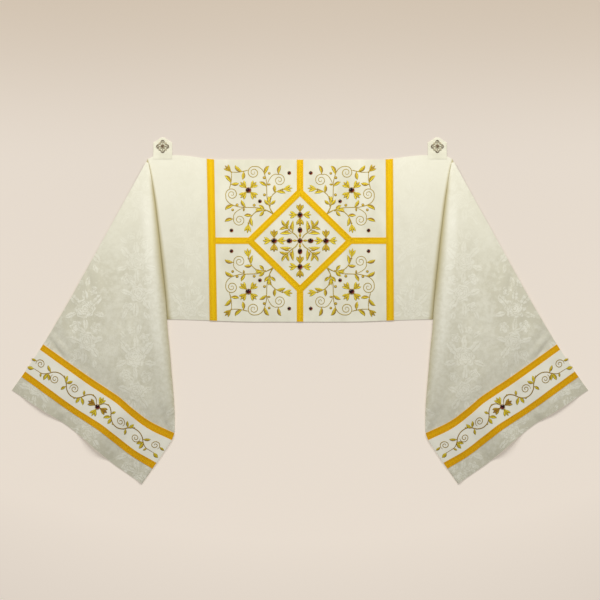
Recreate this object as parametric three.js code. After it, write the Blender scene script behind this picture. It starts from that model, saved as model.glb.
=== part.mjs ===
// A humeral veil, the long shoulder cloth of church dress, laid flat with its front up.
// The middle of the cloth lies straight. At each shoulder corner a pleat turns the end of the
// cloth down and outwards, so three layers lie on each other there: the middle stretch below,
// the hidden pleat between, and the end on top, with a soft rolled fold along its inner side.
// Gold braid frames an embroidered square in the middle and a border near each hem. Above each
// shoulder corner stands a pointed tab with one half of a metal clasp.
// Millimetres. X runs along the veil, Y up towards the neck edge, Z up from the surface.
import * as THREE from "three";

// Driving sizes of the cut
const VEIL_WIDTH = 550;
const HALF_SPAN = 517; // from the middle of the veil to the corner where an end turns down
const END_LENGTH = 908; // from that corner to the hem, along the outer side
const CLOTH = 1.4; // damask and its lining, sewn as one wall
const GAP = 0.3; // between pieces that are sewn together

// How an end lies: degrees below the horizontal, swinging outwards over its lower part
const END_SLOPE = 61;
const HEM_SLOPE = 54.2;
const STRAIGHT_LENGTH = 510;

// Braid, orphreys and border
const SIDE_BRAID_WIDTH = 25;
const BRAID_WIDTH = 21;
const BRAID_THICKNESS = 0.9;
const SIDE_BRAIDS = [
  { name: "left", neck: -304, lower: -294 }, // x of its middle at the neck and lower edges
  { name: "right", neck: 303, lower: 306 },
];
const DIAMOND_HALF_WIDTH = 170.5;
const DIAMOND_HALF_HEIGHT = 166;
const PANEL_THICKNESS = 0.8;
const UPPER_BRAID_TO_HEM = 174;
const LOWER_BRAID_TO_HEM = 61;

// Tabs and clasps
const TAB_AT = 466;
const TAB_WIDTH = 65;
const TAB_PEAK = 350;
const TAB_SHOULDER = 333;
const TAB_THICKNESS = 2;
const CLASP_AT_Y = 320;
const CLASP_SIZE = 47;

// Flowers and stones
const FLOWER_SIZE = 70;
const FLOWER_HEIGHT = 2;
const CROSS_FLOWER_AT = 88;
const CORNER_FLOWER_AT = [175, 172];
const CROSS_STONE_AT = 36;
const STONE_SIZE = 15;
const SMALL_STONE_SIZE = 9;
const STONE_HEIGHT = 4.5;
const SMALL_STONE_HEIGHT = 3;
const SMALL_STONES_AT = [
  { x: 36.5, y: 230 },
  { x: 136, y: 134 },
  { x: 232.5, y: 35 },
];

// The inner fold of an end: across is its distance from the outer side, at each way down.
// The end lies a little narrower than it is cut, because its soft folds take up cloth.
const END_WIDTH = 543;
const FOLD_LINE = [
  { down: 0, across: 0 },
  { down: 54, across: 45 },
  { down: 108, across: 87 },
  { down: 163, across: 127 },
  { down: 219, across: 167 },
  { down: 289, across: 216 },
  { down: 344, across: 255 },
  { down: 401, across: 293 },
  { down: 488, across: 350 },
  { down: 552, across: 398 },
  { down: 601, across: 439 },
  { down: 648, across: 480 },
  { down: 685, across: 510 },
  { down: 709, across: 528 },
  { down: 727, across: 539 },
  { down: 744, across: END_WIDTH },
];
const KNEE_AT = 744; // where the fold runs out at the lower side of the cloth

// The roll along that fold: rise of its crest over the cloth, and the crest's distance from it
const ROLL = [
  { down: 0, rise: 1.5, crest: 6, tuck: 6 },
  { down: 130, rise: 6, crest: 26, tuck: 16 },
  { down: 300, rise: 10, crest: 40, tuck: 22 },
  { down: 520, rise: 9, crest: 38, tuck: 22 },
  { down: 650, rise: 5, crest: 24, tuck: 16 },
  { down: 744, rise: 0, crest: 4, tuck: 8 },
  { down: 908, rise: 0, crest: 4, tuck: 8 },
];
const HEM_GAP = 0.8; // between the two layers of the turned lower side

// Soft folds down an end: share of the way across, half their width as a share, and rise
const SOFT_FOLDS = [
  { share: 0.22, half: 0.17, mid: 2, knee: 4, hem: 6 },
  { share: 0.62, half: 0.15, mid: 3, knee: 10, hem: 11 },
];
const FOLD_STATIONS = { top: 180, mid: 450, knee: KNEE_AT, hem: END_LENGTH };

// Where the cloth slips along an end as it passes those folds, in millimetres towards the hem
const SLIPS = [
  { share: 0, upper: -3, lower: -5.5, hem: 0 },
  { share: 0.2, upper: 2, lower: -4, hem: -4 },
  { share: 0.38, upper: 6.5, lower: -1.5, hem: -11.5 },
  { share: 0.5, upper: 7, lower: -4, hem: -10 },
  { share: 0.59, upper: 7.5, lower: -6.5, hem: -6.5 },
  { share: 0.7, upper: 16.5, lower: -3, hem: -1 },
  { share: 0.79, upper: 21.5, lower: 1, hem: 2 },
  { share: 0.87, upper: 20.5, lower: 1.5, hem: 1 },
  { share: 1, upper: 10.5, lower: -4.5, hem: 0 },
];
const SLIP_STARTS = 540;

// The hidden pleat under each end
const PLEAT_SLOPE = 65.4; // its outer fold, in degrees below the horizontal
const PLEAT_THICKNESS = 3;
const PLEAT_BOTTOM = CLOTH + GAP;
const PLEAT_TOP = PLEAT_BOTTOM + PLEAT_THICKNESS;
const PLEAT_BEVEL = 1;
const SETTLE_FROM = 45; // past the pleat's edge the end starts to come down
const SETTLE_TO = 120; // and here it lies on the surface

// The neck edge and lower edge of the middle stretch are drawn up a little at the shoulders
const NECK_LIFT = 15;
const CORNER_DROP = 14;
const LOWER_LIFT = 8;

const radians = THREE.MathUtils.degToRad;
const lerp = THREE.MathUtils.lerp;
const smoothstep = THREE.MathUtils.smoothstep;

// A bump of height 1 at 0 that dies away at -1 and 1
function bump(x) {
  return Math.abs(x) < 1 ? (1 - x * x) ** 2 : 0;
}

// A table's value between its rows, on a smooth curve through them
function between(rows, from, value, x) {
  const last = rows.length - 1;
  if (x <= rows[0][from]) return rows[0][value];
  if (x >= rows[last][from]) return rows[last][value];
  const i = rows.findIndex((row) => row[from] > x) - 1;
  const slope = (k) => {
    const a = rows[Math.max(k - 1, 0)];
    const b = rows[Math.min(k + 1, last)];
    return (b[value] - a[value]) / (b[from] - a[from]);
  };
  const span = rows[i + 1][from] - rows[i][from];
  const t = (x - rows[i][from]) / span;
  const start = rows[i][value];
  const rise = rows[i + 1][value] - start;
  const m0 = slope(i) * span;
  const m1 = slope(i + 1) * span;
  return start + t * m0 + t * t * (3 * rise - 2 * m0 - m1) + t * t * t * (m0 + m1 - 2 * rise);
}

// The neck edge and the lower edge of the middle stretch, at x
function neckEdge(x) {
  const out = Math.abs(x);
  const lift = NECK_LIFT * smoothstep(out, 200, 440);
  return VEIL_WIDTH / 2 + lift - CORNER_DROP * smoothstep(out, 485, 525);
}
function lowerEdge(x) {
  return -VEIL_WIDTH / 2 + LOWER_LIFT * smoothstep(Math.abs(x), 150, 450);
}

// The left end. Its outer side starts at the corner, runs straight, then bends outwards.
const CORNER = new THREE.Vector2(-HALF_SPAN, VEIL_WIDTH / 2);
const BEND = radians(END_SLOPE - HEM_SLOPE) / (END_LENGTH - STRAIGHT_LENGTH);

function slopeAt(down) {
  return radians(END_SLOPE) - BEND * Math.max(0, down - STRAIGHT_LENGTH);
}
function outerSide(down) {
  const first = radians(END_SLOPE);
  const straight = Math.min(down, STRAIGHT_LENGTH);
  const now = slopeAt(down);
  return new THREE.Vector2(
    CORNER.x - straight * Math.cos(first) - (Math.sin(first) - Math.sin(now)) / BEND,
    CORNER.y - straight * Math.sin(first) - (Math.cos(now) - Math.cos(first)) / BEND,
  );
}
// A point of the left end in plan: down from the corner, and across from the outer side
function planPoint(down, across) {
  const slope = slopeAt(down);
  const p = outerSide(down);
  const share = across / foldAcross(down);
  const slip = slipAt(down, share);
  p.x += across * Math.sin(slope) - slip * Math.cos(slope);
  p.y -= across * Math.cos(slope) + slip * Math.sin(slope);
  return p;
}
function foldAcross(down) {
  return Math.max(1, between(FOLD_LINE, "down", "across", down));
}

function slipAt(down, share) {
  const at = (column) => between(SLIPS, "share", column, share);
  const rows = [
    { down: SLIP_STARTS, along: 0 },
    { down: END_LENGTH - UPPER_BRAID_TO_HEM, along: at("upper") },
    { down: END_LENGTH - LOWER_BRAID_TO_HEM, along: at("lower") },
    { down: END_LENGTH, along: at("hem") },
  ];
  return between(rows, "down", "along", down);
}

function softRise(down, share) {
  return SOFT_FOLDS.reduce((sum, { share: at, half, mid, knee, hem }) => {
    const rows = [
      { down: FOLD_STATIONS.top, rise: 0 },
      { down: FOLD_STATIONS.mid, rise: mid },
      { down: FOLD_STATIONS.knee, rise: knee },
      { down: FOLD_STATIONS.hem, rise: hem },
    ];
    return sum + between(rows, "down", "rise", down) * bump((share - at) / half);
  }, 0);
}

// The hidden pleat's outline under the left end, from the corner round by its outer fold
function pleatOutline() {
  const slope = radians(PLEAT_SLOPE);
  const drop = CORNER.y - lowerEdge(HALF_SPAN + 250);
  const start = 45;
  const points = [
    new THREE.Vector2(
      CORNER.x - start * Math.cos(slope) + 4,
      CORNER.y - start * Math.sin(slope),
    ),
    new THREE.Vector2(CORNER.x - drop / Math.tan(slope), CORNER.y - drop),
  ];
  const lowest = 640;
  for (let down = lowest; down > 60; down -= 58) {
    const { crest, tuck } = rollAt(down);
    const inset = crest * 0.5 + tuck + 12;
    points.push(planPoint(down, foldAcross(down) - inset));
  }
  return points;
}
const PLEAT = pleatOutline();

function distanceOutside(point, outline) {
  let inside = false;
  let least = Infinity;
  outline.forEach((a, i) => {
    const b = outline[(i + 1) % outline.length];
    const side = b.clone().sub(a);
    const share = THREE.MathUtils.clamp(point.clone().sub(a).dot(side) / side.lengthSq(), 0, 1);
    least = Math.min(least, point.distanceTo(a.clone().addScaledVector(side, share)));
    const crosses = a.y > point.y !== b.y > point.y;
    if (crosses && point.x < a.x + ((point.y - a.y) / (b.y - a.y)) * side.x) inside = !inside;
  });
  return inside ? 0 : least;
}
// Height of what lies under the left end, eased down to the surface past the pleat
function supportUnder(point) {
  const off = distanceOutside(point, PLEAT);
  return (PLEAT_TOP + GAP) * (1 - smoothstep(off, SETTLE_FROM, SETTLE_TO));
}
function rollAt(down) {
  return {
    rise: between(ROLL, "down", "rise", down),
    crest: between(ROLL, "down", "crest", down),
    tuck: between(ROLL, "down", "tuck", down),
  };
}

// One cross-section of the left end's middle surface: the open cloth, then the roll at the
// fold, or the turned edge below the knee, and the part tucked back under it.
const OPEN_SHARES = [0, 0.11, 0.22, 0.34, 0.42, 0.5, 0.58, 0.64, 0.7, 0.76, 0.84, 0.92, 1];
const ROLL_TURNS = [30, 62, 90, 118, 150, 180];

function endSection(down) {
  const across = foldAcross(down);
  const roll = rollAt(down);
  const crest = Math.min(roll.crest, across * 0.55);
  const tuck = Math.min(roll.tuck, across * 0.4);
  const layered = 1 - smoothstep(down, KNEE_AT - 130, KNEE_AT);
  const low = CLOTH / 2 + PLEAT_BOTTOM * layered;
  const crestPoint = planPoint(down, across - crest);
  const onTurnedEdge = low + CLOTH + HEM_GAP;
  const lowest = Math.max(supportUnder(crestPoint) + CLOTH / 2, onTurnedEdge);
  const top = lowest + roll.rise;
  const edge = low + (top - low) * 0.45;

  const section = OPEN_SHARES.map((share) => {
    const at = share * (across - crest);
    const p = planPoint(down, at);
    const rest = supportUnder(p) + CLOTH / 2 + softRise(down, at / across);
    const reach = Math.max(3.2 * crest, 26);
    const towardsRoll = 1 - smoothstep(across - crest - at, 0, reach);
    return new THREE.Vector3(p.x, p.y, lerp(rest, top, towardsRoll));
  });
  for (const turn of ROLL_TURNS) {
    const angle = radians(turn);
    const upper = turn <= 90;
    const depth = upper ? crest : Math.min(crest * 0.5, edge - low + 1);
    const back = depth * (1 - Math.sin(angle));
    const z = edge + (upper ? top - edge : edge - low) * Math.cos(angle);
    const p = planPoint(down, across - back);
    section.push(new THREE.Vector3(p.x, p.y, z));
  }
  const lastBack = Math.min(crest * 0.5, edge - low + 1) + tuck;
  const p = planPoint(down, across - lastBack);
  section.push(new THREE.Vector3(p.x, p.y, low));
  return section;
}

// Sections stand closer together at the borders' edges, which lie on the cloth's own points
const upperBraid = END_LENGTH - UPPER_BRAID_TO_HEM;
const lowerBraid = END_LENGTH - LOWER_BRAID_TO_HEM;
const END_STATIONS = [
  9, 30, 62, 105, 155, 215, 280, 350, 420, 490, 550, 605, 650, 690,
  upperBraid - BRAID_WIDTH / 2,
  upperBraid + BRAID_WIDTH / 2,
  upperBraid + 42,
  lowerBraid - 42,
  lowerBraid - BRAID_WIDTH / 2,
  lowerBraid + BRAID_WIDTH / 2,
  lowerBraid + 34,
  END_LENGTH,
];
const END_GRID = END_STATIONS.map(endSection);
const END_NORMALS = gridNormals(END_GRID);

// A normal at each point of a grid, up for a grid that lies flat with its front up
function gridNormals(grid) {
  const rows = grid.length;
  const columns = grid[0].length;
  return grid.map((row, i) =>
    row.map((_, j) => {
      const along = grid[Math.min(i + 1, rows - 1)][j].clone().sub(grid[Math.max(i - 1, 0)][j]);
      const across = row[Math.min(j + 1, columns - 1)].clone().sub(row[Math.max(j - 1, 0)]);
      return along.cross(across).normalize();
    }),
  );
}

// A closed wall between two offsets of a grid's points along its normals
function wall(grid, normals, inner, outer) {
  const rows = grid.length;
  const columns = grid[0].length;
  const positions = [];
  for (const offset of [outer, inner])
    grid.forEach((row, i) =>
      row.forEach((p, j) => {
        positions.push(...p.clone().addScaledVector(normals[i][j], offset).toArray());
      }),
    );
  const top = (i, j) => i * columns + j;
  const bottom = (i, j) => rows * columns + i * columns + j;
  const index = [];
  const quad = (a, b, c, d) => index.push(a, b, c, a, c, d);
  for (let i = 0; i + 1 < rows; i++)
    for (let j = 0; j + 1 < columns; j++) {
      quad(top(i, j), top(i + 1, j), top(i + 1, j + 1), top(i, j + 1));
      quad(bottom(i, j), bottom(i, j + 1), bottom(i + 1, j + 1), bottom(i + 1, j));
    }
  const last = { row: rows - 1, column: columns - 1 };
  for (let i = 0; i < last.row; i++) {
    quad(top(i, 0), bottom(i, 0), bottom(i + 1, 0), top(i + 1, 0));
    quad(top(i + 1, last.column), bottom(i + 1, last.column), bottom(i, last.column),
      top(i, last.column));
  }
  for (let j = 0; j < last.column; j++) {
    quad(top(0, j + 1), bottom(0, j + 1), bottom(0, j), top(0, j));
    quad(top(last.row, j), bottom(last.row, j), bottom(last.row, j + 1), top(last.row, j + 1));
  }
  return solid(positions, index);
}

function solid(positions, index) {
  const geometry = new THREE.BufferGeometry();
  geometry.setAttribute("position", new THREE.Float32BufferAttribute(positions, 3));
  geometry.setIndex(index);
  geometry.computeVertexNormals();
  return geometry;
}

// Rows first to last of the end's open cloth, drawn in by the seam gap at either end
function endStrip(first, last, inner, outer, seams) {
  const columns = OPEN_SHARES.length;
  const pick = (rows) => rows.slice(first, last + 1).map((row) => row.slice(0, columns));
  const grid = pick(END_GRID);
  const normals = pick(END_NORMALS);
  const draw = (row, next) => {
    grid[row] = grid[row].map((p, j) => {
      const gap = GAP / p.distanceTo(grid[next][j]);
      normals[row][j] = normals[row][j].clone().lerp(normals[next][j], gap).normalize();
      return p.clone().lerp(grid[next][j], gap);
    });
  };
  if (seams) {
    draw(0, 1);
    draw(grid.length - 1, grid.length - 2);
  }
  return wall(grid, normals, inner, outer);
}

// A flat plate of an outline, from z upwards
function plate(outline, z, thickness, holes = []) {
  const shape = new THREE.Shape(outline);
  shape.holes = holes.map((hole) => new THREE.Path(hole));
  return new THREE.ExtrudeGeometry(shape, {
    depth: thickness,
    bevelEnabled: false,
  }).translate(0, 0, z);
}

function mirrored(geometry) {
  const copy = geometry.index ? geometry.toNonIndexed() : geometry.clone();
  const p = copy.getAttribute("position");
  for (let i = 0; i < p.count; i++) p.setX(i, -p.getX(i));
  for (let i = 0; i < p.count; i += 3) {
    const b = [p.getX(i + 1), p.getY(i + 1), p.getZ(i + 1)];
    p.setXYZ(i + 1, p.getX(i + 2), p.getY(i + 2), p.getZ(i + 2));
    p.setXYZ(i + 2, ...b);
  }
  copy.computeVertexNormals();
  return copy;
}

// Materials
const cloth = (color, roughness = 0.75) =>
  new THREE.MeshStandardMaterial({ color, roughness, metalness: 0 });
const damask = cloth(0xe9e5d3, 0.6);
const satin = cloth(0xf1eee0, 0.55);
const braid = cloth(0xe0a81c, 0.6);
const goldThread = new THREE.MeshStandardMaterial({
  color: 0xc99a1e,
  roughness: 0.4,
  metalness: 0.5,
});
const redGlass = new THREE.MeshStandardMaterial({ color: 0x4a0710, roughness: 0.1, metalness: 0 });
const pewter = new THREE.MeshStandardMaterial({ color: 0x9a8772, roughness: 0.35, metalness: 0.9 });

const veil = new THREE.Group();
function add(name, geometry, material) {
  const mesh = new THREE.Mesh(geometry, material);
  mesh.name = name;
  veil.add(mesh);
}
function addPair(name, geometry, material) {
  add(name + "_left", geometry, material);
  add(name + "_right", mirrored(geometry), material);
}

// The middle stretch runs on under the ends to the pleats' outer folds
function middleOutline() {
  const slope = radians(PLEAT_SLOPE);
  const drop = CORNER.y - lowerEdge(HALF_SPAN + 250);
  const foot = HALF_SPAN + drop / Math.tan(slope);
  const neckAt = [517, 505, 485, 462, 440, 400, 350, 300, 250, 200, 0];
  const lowerAt = [foot, 600, 450, 400, 350, 300, 250, 200, 150, 0];
  const neck = neckAt.map((x) => new THREE.Vector2(-x, neckEdge(x)));
  const lower = lowerAt.map((x) => new THREE.Vector2(-x, lowerEdge(x)));
  const left = [...lower.reverse(), ...neck];
  const right = left.slice(1, -1).map((p) => new THREE.Vector2(-p.x, p.y));
  return [...left, ...right.reverse()];
}
add("veil_middle", plate(middleOutline(), 0, CLOTH), damask);

// The hidden layers of each pleat share one solid, with the layers' edges rounded off
function pleatSolid() {
  const shape = new THREE.Shape(PLEAT);
  return new THREE.ExtrudeGeometry(shape, {
    depth: PLEAT_THICKNESS - 2 * PLEAT_BEVEL,
    bevelThickness: PLEAT_BEVEL,
    bevelSize: PLEAT_BEVEL,
    bevelOffset: -PLEAT_BEVEL,
    bevelSegments: 2,
  }).translate(0, 0, PLEAT_BOTTOM + PLEAT_BEVEL);
}
addPair("pleat", pleatSolid(), damask);
addPair("veil_end", wall(END_GRID, END_NORMALS, -CLOTH / 2, CLOTH / 2), damask);

// The borders of each end: two braids with an embroidered strip between them
const onEnd = CLOTH / 2 + GAP;
const rowOf = (down) => END_STATIONS.indexOf(down);
const upperRows = [rowOf(upperBraid - BRAID_WIDTH / 2), rowOf(upperBraid + BRAID_WIDTH / 2)];
const lowerRows = [rowOf(lowerBraid - BRAID_WIDTH / 2), rowOf(lowerBraid + BRAID_WIDTH / 2)];
addPair("braid_end_upper", endStrip(...upperRows, onEnd, onEnd + BRAID_THICKNESS, false), braid);
addPair("braid_end_lower", endStrip(...lowerRows, onEnd, onEnd + BRAID_THICKNESS, false), braid);
const borderTop = onEnd + PANEL_THICKNESS;
addPair("border_end", endStrip(upperRows[1], lowerRows[0], onEnd, borderTop, true), satin);

// The embroidered square of the middle, between the two side braids, which lean a little
const onMiddle = CLOTH + GAP;
function sideBraidAt(side, y) {
  return lerp(side.lower, side.neck, (y + VEIL_WIDTH / 2) / VEIL_WIDTH);
}
// An upright band of the middle stretch between two leaning lines, each a function of y
function band(fromAt, toAt) {
  const shares = [0, 0.25, 0.5, 0.75, 1];
  const along = (edge, middleY) =>
    shares.map((share) => {
      const x = lerp(fromAt(middleY), toAt(middleY), share);
      return new THREE.Vector2(x, edge(x));
    });
  return [...along(lowerEdge, -VEIL_WIDTH / 2), ...along(neckEdge, VEIL_WIDTH / 2).reverse()];
}
const halfSideBraid = SIDE_BRAID_WIDTH / 2;
const panelFrom = (y) => sideBraidAt(SIDE_BRAIDS[0], y) + halfSideBraid + GAP;
const panelTo = (y) => sideBraidAt(SIDE_BRAIDS[1], y) - halfSideBraid - GAP;
add("orphrey_panel", plate(band(panelFrom, panelTo), onMiddle, PANEL_THICKNESS), satin);
for (const side of SIDE_BRAIDS) {
  const from = (y) => sideBraidAt(side, y) - halfSideBraid;
  const to = (y) => sideBraidAt(side, y) + halfSideBraid;
  const outline = band(from, to);
  add("braid_side_" + side.name, plate(outline, onMiddle, BRAID_THICKNESS + PANEL_THICKNESS), braid);
}

// The braid diamond and the four bars that tie it to the edges
const onPanel = onMiddle + PANEL_THICKNESS + GAP;
const DIAMOND_SIDE = Math.hypot(DIAMOND_HALF_WIDTH, DIAMOND_HALF_HEIGHT);
function diamond(grown) {
  const wider = (grown * DIAMOND_SIDE) / DIAMOND_HALF_HEIGHT;
  const taller = (grown * DIAMOND_SIDE) / DIAMOND_HALF_WIDTH;
  const w = DIAMOND_HALF_WIDTH + wider;
  const h = DIAMOND_HALF_HEIGHT + taller;
  return [
    new THREE.Vector2(w, 0),
    new THREE.Vector2(0, h),
    new THREE.Vector2(-w, 0),
    new THREE.Vector2(0, -h),
  ];
}
const halfBraid = BRAID_WIDTH / 2;
const ring = plate(diamond(halfBraid), onPanel, BRAID_THICKNESS, [diamond(-halfBraid)]);
add("braid_diamond", ring, braid);

// Each bar's inner end is cut to the diamond's point, a seam gap away
const [pointRight, pointTop] = diamond(halfBraid + GAP);
const barCutX = (halfBraid * DIAMOND_HALF_WIDTH) / DIAMOND_HALF_HEIGHT;
const barCutY = (halfBraid * DIAMOND_HALF_HEIGHT) / DIAMOND_HALF_WIDTH;
function levelBar(sign, edgeAt) {
  const outline = [
    new THREE.Vector2(edgeAt(-halfBraid), -halfBraid),
    new THREE.Vector2(sign * (pointRight.x - barCutX), -halfBraid),
    new THREE.Vector2(sign * pointRight.x, 0),
    new THREE.Vector2(sign * (pointRight.x - barCutX), halfBraid),
    new THREE.Vector2(edgeAt(halfBraid), halfBraid),
  ];
  return plate(outline, onPanel, BRAID_THICKNESS);
}
add("braid_bar_left", levelBar(-1, panelFrom), braid);
add("braid_bar_right", levelBar(1, panelTo), braid);
function uprightBar(sign, edge) {
  const outline = [
    new THREE.Vector2(-halfBraid, sign * edge),
    new THREE.Vector2(-halfBraid, sign * (pointTop.y - barCutY)),
    new THREE.Vector2(0, sign * pointTop.y),
    new THREE.Vector2(halfBraid, sign * (pointTop.y - barCutY)),
    new THREE.Vector2(halfBraid, sign * edge),
  ];
  return plate(outline, onPanel, BRAID_THICKNESS);
}
add("braid_bar_top", uprightBar(1, neckEdge(0)), braid);
add("braid_bar_bottom", uprightBar(-1, -lowerEdge(0)), braid);

// A tab is sewn on the front at the neck edge, comes down past it and lies on the surface
function tabGrid() {
  const half = TAB_WIDTH / 2;
  const rows = [
    { y: 277, half, z: onMiddle },
    { y: 291, half, z: onMiddle },
    { y: 296, half, z: 0 },
    { y: TAB_SHOULDER, half, z: 0 },
    { y: lerp(TAB_SHOULDER, TAB_PEAK, 0.6), half: half * 0.48, z: 0 },
    { y: TAB_PEAK, half: 6, z: 0 },
  ];
  return rows.reverse().map(({ y, half: h, z }) =>
    [-1, -0.5, 0, 0.5, 1].map((s) => new THREE.Vector3(-TAB_AT + s * h, y, z)),
  );
}
const straightUp = (grid) => grid.map((row) => row.map(() => new THREE.Vector3(0, 0, 1)));
const tab = tabGrid();
addPair("tab", wall(tab, straightUp(tab), 0, TAB_THICKNESS), satin);

// A relief plate whose rim distance depends on the angle, with a height for each ring
function rosette(steps, rimAt, rings, base) {
  const positions = [0, 0, base, 0, 0, base + rings[0].height];
  const circle = (scale, z) => {
    const first = positions.length / 3;
    for (let k = 0; k < steps; k++) {
      const angle = (2 * Math.PI * k) / steps;
      const r = rimAt(angle) * scale;
      positions.push(r * Math.cos(angle), r * Math.sin(angle), z(angle));
    }
    return first;
  };
  const index = [];
  const rim = circle(1, () => base);
  let inner = null;
  for (const { scale, height, lobe = 0 } of rings.slice(1)) {
    const next = circle(scale, (angle) => base + height + lobe * Math.cos(4 * angle));
    for (let k = 0; k < steps; k++) {
      const m = (k + 1) % steps;
      if (inner === null) index.push(1, next + k, next + m);
      else index.push(inner + k, next + k, next + m, inner + k, next + m, inner + m);
    }
    inner = next;
  }
  for (let k = 0; k < steps; k++) {
    const m = (k + 1) % steps;
    index.push(inner + k, rim + k, rim + m, inner + k, rim + m, inner + m);
    index.push(0, rim + m, rim + k);
  }
  return solid(positions, index);
}

// Four spread petals round a stone: narrow at the root, three-lobed at the tip
const PETAL = [
  { from: 0, reach: 1 },
  { from: 11, reach: 0.87 },
  { from: 21, reach: 0.95 },
  { from: 27, reach: 0.78 },
  { from: 36, reach: 0.3 },
  { from: 45, reach: 0.22 },
];
const FLOWER_STEPS = 32;
function petalRim(angle) {
  const turned = THREE.MathUtils.radToDeg(angle) % 90;
  return (FLOWER_SIZE / 2) * between(PETAL, "from", "reach", Math.min(turned, 90 - turned));
}
function flower() {
  return rosette(
    FLOWER_STEPS,
    petalRim,
    [
      { height: FLOWER_HEIGHT * 0.55 },
      { scale: 0.3, height: FLOWER_HEIGHT * 0.55 },
      { scale: 0.66, height: FLOWER_HEIGHT * 0.75, lobe: FLOWER_HEIGHT * 0.25 },
      { scale: 1, height: FLOWER_HEIGHT * 0.3 },
    ],
    0,
  );
}
// A domed stone, round or longer one way
function stone(length, width, height) {
  const rimAt = (angle) => 1 / Math.hypot(Math.cos(angle) / length, Math.sin(angle) / width) / 2;
  return rosette(
    10,
    rimAt,
    [
      { height },
      { scale: 0.6, height: height * 0.85 },
      { scale: 1, height: height * 0.35 },
    ],
    0,
  );
}

function place(geometry, x, y, z, degrees = 0) {
  return geometry.clone().rotateZ(radians(degrees)).translate(x, y, z);
}
const stoneOnFlower = FLOWER_HEIGHT * 0.55 + GAP;
function addFlower(name, x, y, degrees) {
  add("flower_" + name, place(flower(), x, y, onPanel, degrees), goldThread);
  const jewel = stone(STONE_SIZE, STONE_SIZE, STONE_HEIGHT);
  add("stone_" + name, place(jewel, x, y, onPanel + stoneOnFlower, degrees), redGlass);
}
const SIDES = [
  { name: "right", x: 1, y: 0 },
  { name: "top", x: 0, y: 1 },
  { name: "left", x: -1, y: 0 },
  { name: "bottom", x: 0, y: -1 },
];
const middleJewel = stone(STONE_SIZE, STONE_SIZE, STONE_HEIGHT);
add("stone_middle", place(middleJewel, 0, 0, onPanel), redGlass);
SIDES.forEach(({ name, x, y }, turn) => {
  addFlower("cross_" + name, CROSS_FLOWER_AT * x, CROSS_FLOWER_AT * y, 0);
  const jewel = stone(STONE_SIZE * 1.2, STONE_SIZE * 0.85, STONE_HEIGHT);
  const turned = place(jewel, CROSS_STONE_AT * x, CROSS_STONE_AT * y, onPanel, 90 * turn);
  add("stone_inner_" + name, turned, redGlass);
});
const CORNERS = [
  { name: "upper_right", x: 1, y: 1 },
  { name: "upper_left", x: -1, y: 1 },
  { name: "lower_left", x: -1, y: -1 },
  { name: "lower_right", x: 1, y: -1 },
];
const smallJewel = stone(SMALL_STONE_SIZE, SMALL_STONE_SIZE, SMALL_STONE_HEIGHT);
CORNERS.forEach(({ name, x, y }) => {
  addFlower("corner_" + name, CORNER_FLOWER_AT[0] * x, CORNER_FLOWER_AT[1] * y, 45);
  SMALL_STONES_AT.forEach((at, k) => {
    const jewel = place(smallJewel, at.x * x, at.y * y, onPanel);
    add("stone_small_" + name + "_" + (k + 1), jewel, redGlass);
  });
});

// A point at a height over the facets of the left end's open cloth
function overEnd(down, across, height) {
  const roll = rollAt(down);
  const open = foldAcross(down) - Math.min(roll.crest, foldAcross(down) * 0.55);
  const place = (list, value) => {
    const i = THREE.MathUtils.clamp(list.findIndex((x) => x > value) - 1, 0, list.length - 2);
    return [i, (value - list[i]) / (list[i + 1] - list[i])];
  };
  const [i, u] = place(END_STATIONS, down);
  const [j, v] = place(OPEN_SHARES, across / open);
  const mix = (grid) => {
    const along = u >= v ? [grid[i][j], grid[i + 1][j]] : [grid[i][j + 1], grid[i + 1][j + 1]];
    const over = u >= v ? [grid[i + 1][j], grid[i + 1][j + 1]] : [grid[i][j], grid[i][j + 1]];
    return grid[i][j]
      .clone()
      .addScaledVector(along[1].clone().sub(along[0]), u)
      .addScaledVector(over[1].clone().sub(over[0]), v);
  };
  return mix(END_GRID).addScaledVector(mix(END_NORMALS).normalize(), height);
}

// The flower in the middle of each border, and its stone, follow the cloth
const BENT_GAP = 0.7; // clears the border's facets under the flower's own
function bentOverBorder(geometry, base) {
  const middleOfBorder = (upperBraid + lowerBraid) / 2;
  const p = geometry.getAttribute("position");
  for (let i = 0; i < p.count; i++) {
    const height = borderTop + BENT_GAP + base + p.getZ(i);
    const point = overEnd(middleOfBorder - p.getY(i), END_WIDTH / 2 + p.getX(i), height);
    p.setXYZ(i, ...point.toArray());
  }
  return geometry;
}
addPair("flower_border", bentOverBorder(flower(), 0), goldThread);
const borderJewel = stone(STONE_SIZE, STONE_SIZE, STONE_HEIGHT);
addPair("stone_border", bentOverBorder(borderJewel, stoneOnFlower + GAP), redGlass);

// A clasp half: a four-lobed openwork brooch, here with its relief and no piercing
const CLASP_STEPS = 32;
const CLASP_LOBES = [
  { out: 0.3, radius: 0.105, every: 90, first: 0 },
  { out: 0.2, radius: 0.13, every: 90, first: 45 },
];
function claspRim(angle) {
  const core = 0.24;
  return CLASP_LOBES.reduce((far, { out, radius, every, first }) => {
    const turned = THREE.MathUtils.euclideanModulo(
      THREE.MathUtils.radToDeg(angle) - first + every / 2, every) - every / 2;
    const sideways = out * Math.sin(radians(turned));
    if (Math.abs(sideways) >= radius) return far;
    const reach = out * Math.cos(radians(turned)) + Math.sqrt(radius ** 2 - sideways ** 2);
    return Math.max(far, reach * CLASP_SIZE * 1.235);
  }, core * CLASP_SIZE * 1.235);
}
const CLASP_RINGS = [
  { height: 5 },
  { scale: 0.16, height: 4.4 },
  { scale: 0.3, height: 2.2 },
  { scale: 0.5, height: 3.2 },
  { scale: 0.68, height: 2 },
  { scale: 0.85, height: 3, lobe: 0.6 },
  { scale: 1, height: 1.6 },
];
const clasp = rosette(CLASP_STEPS, claspRim, CLASP_RINGS, 0);
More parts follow.
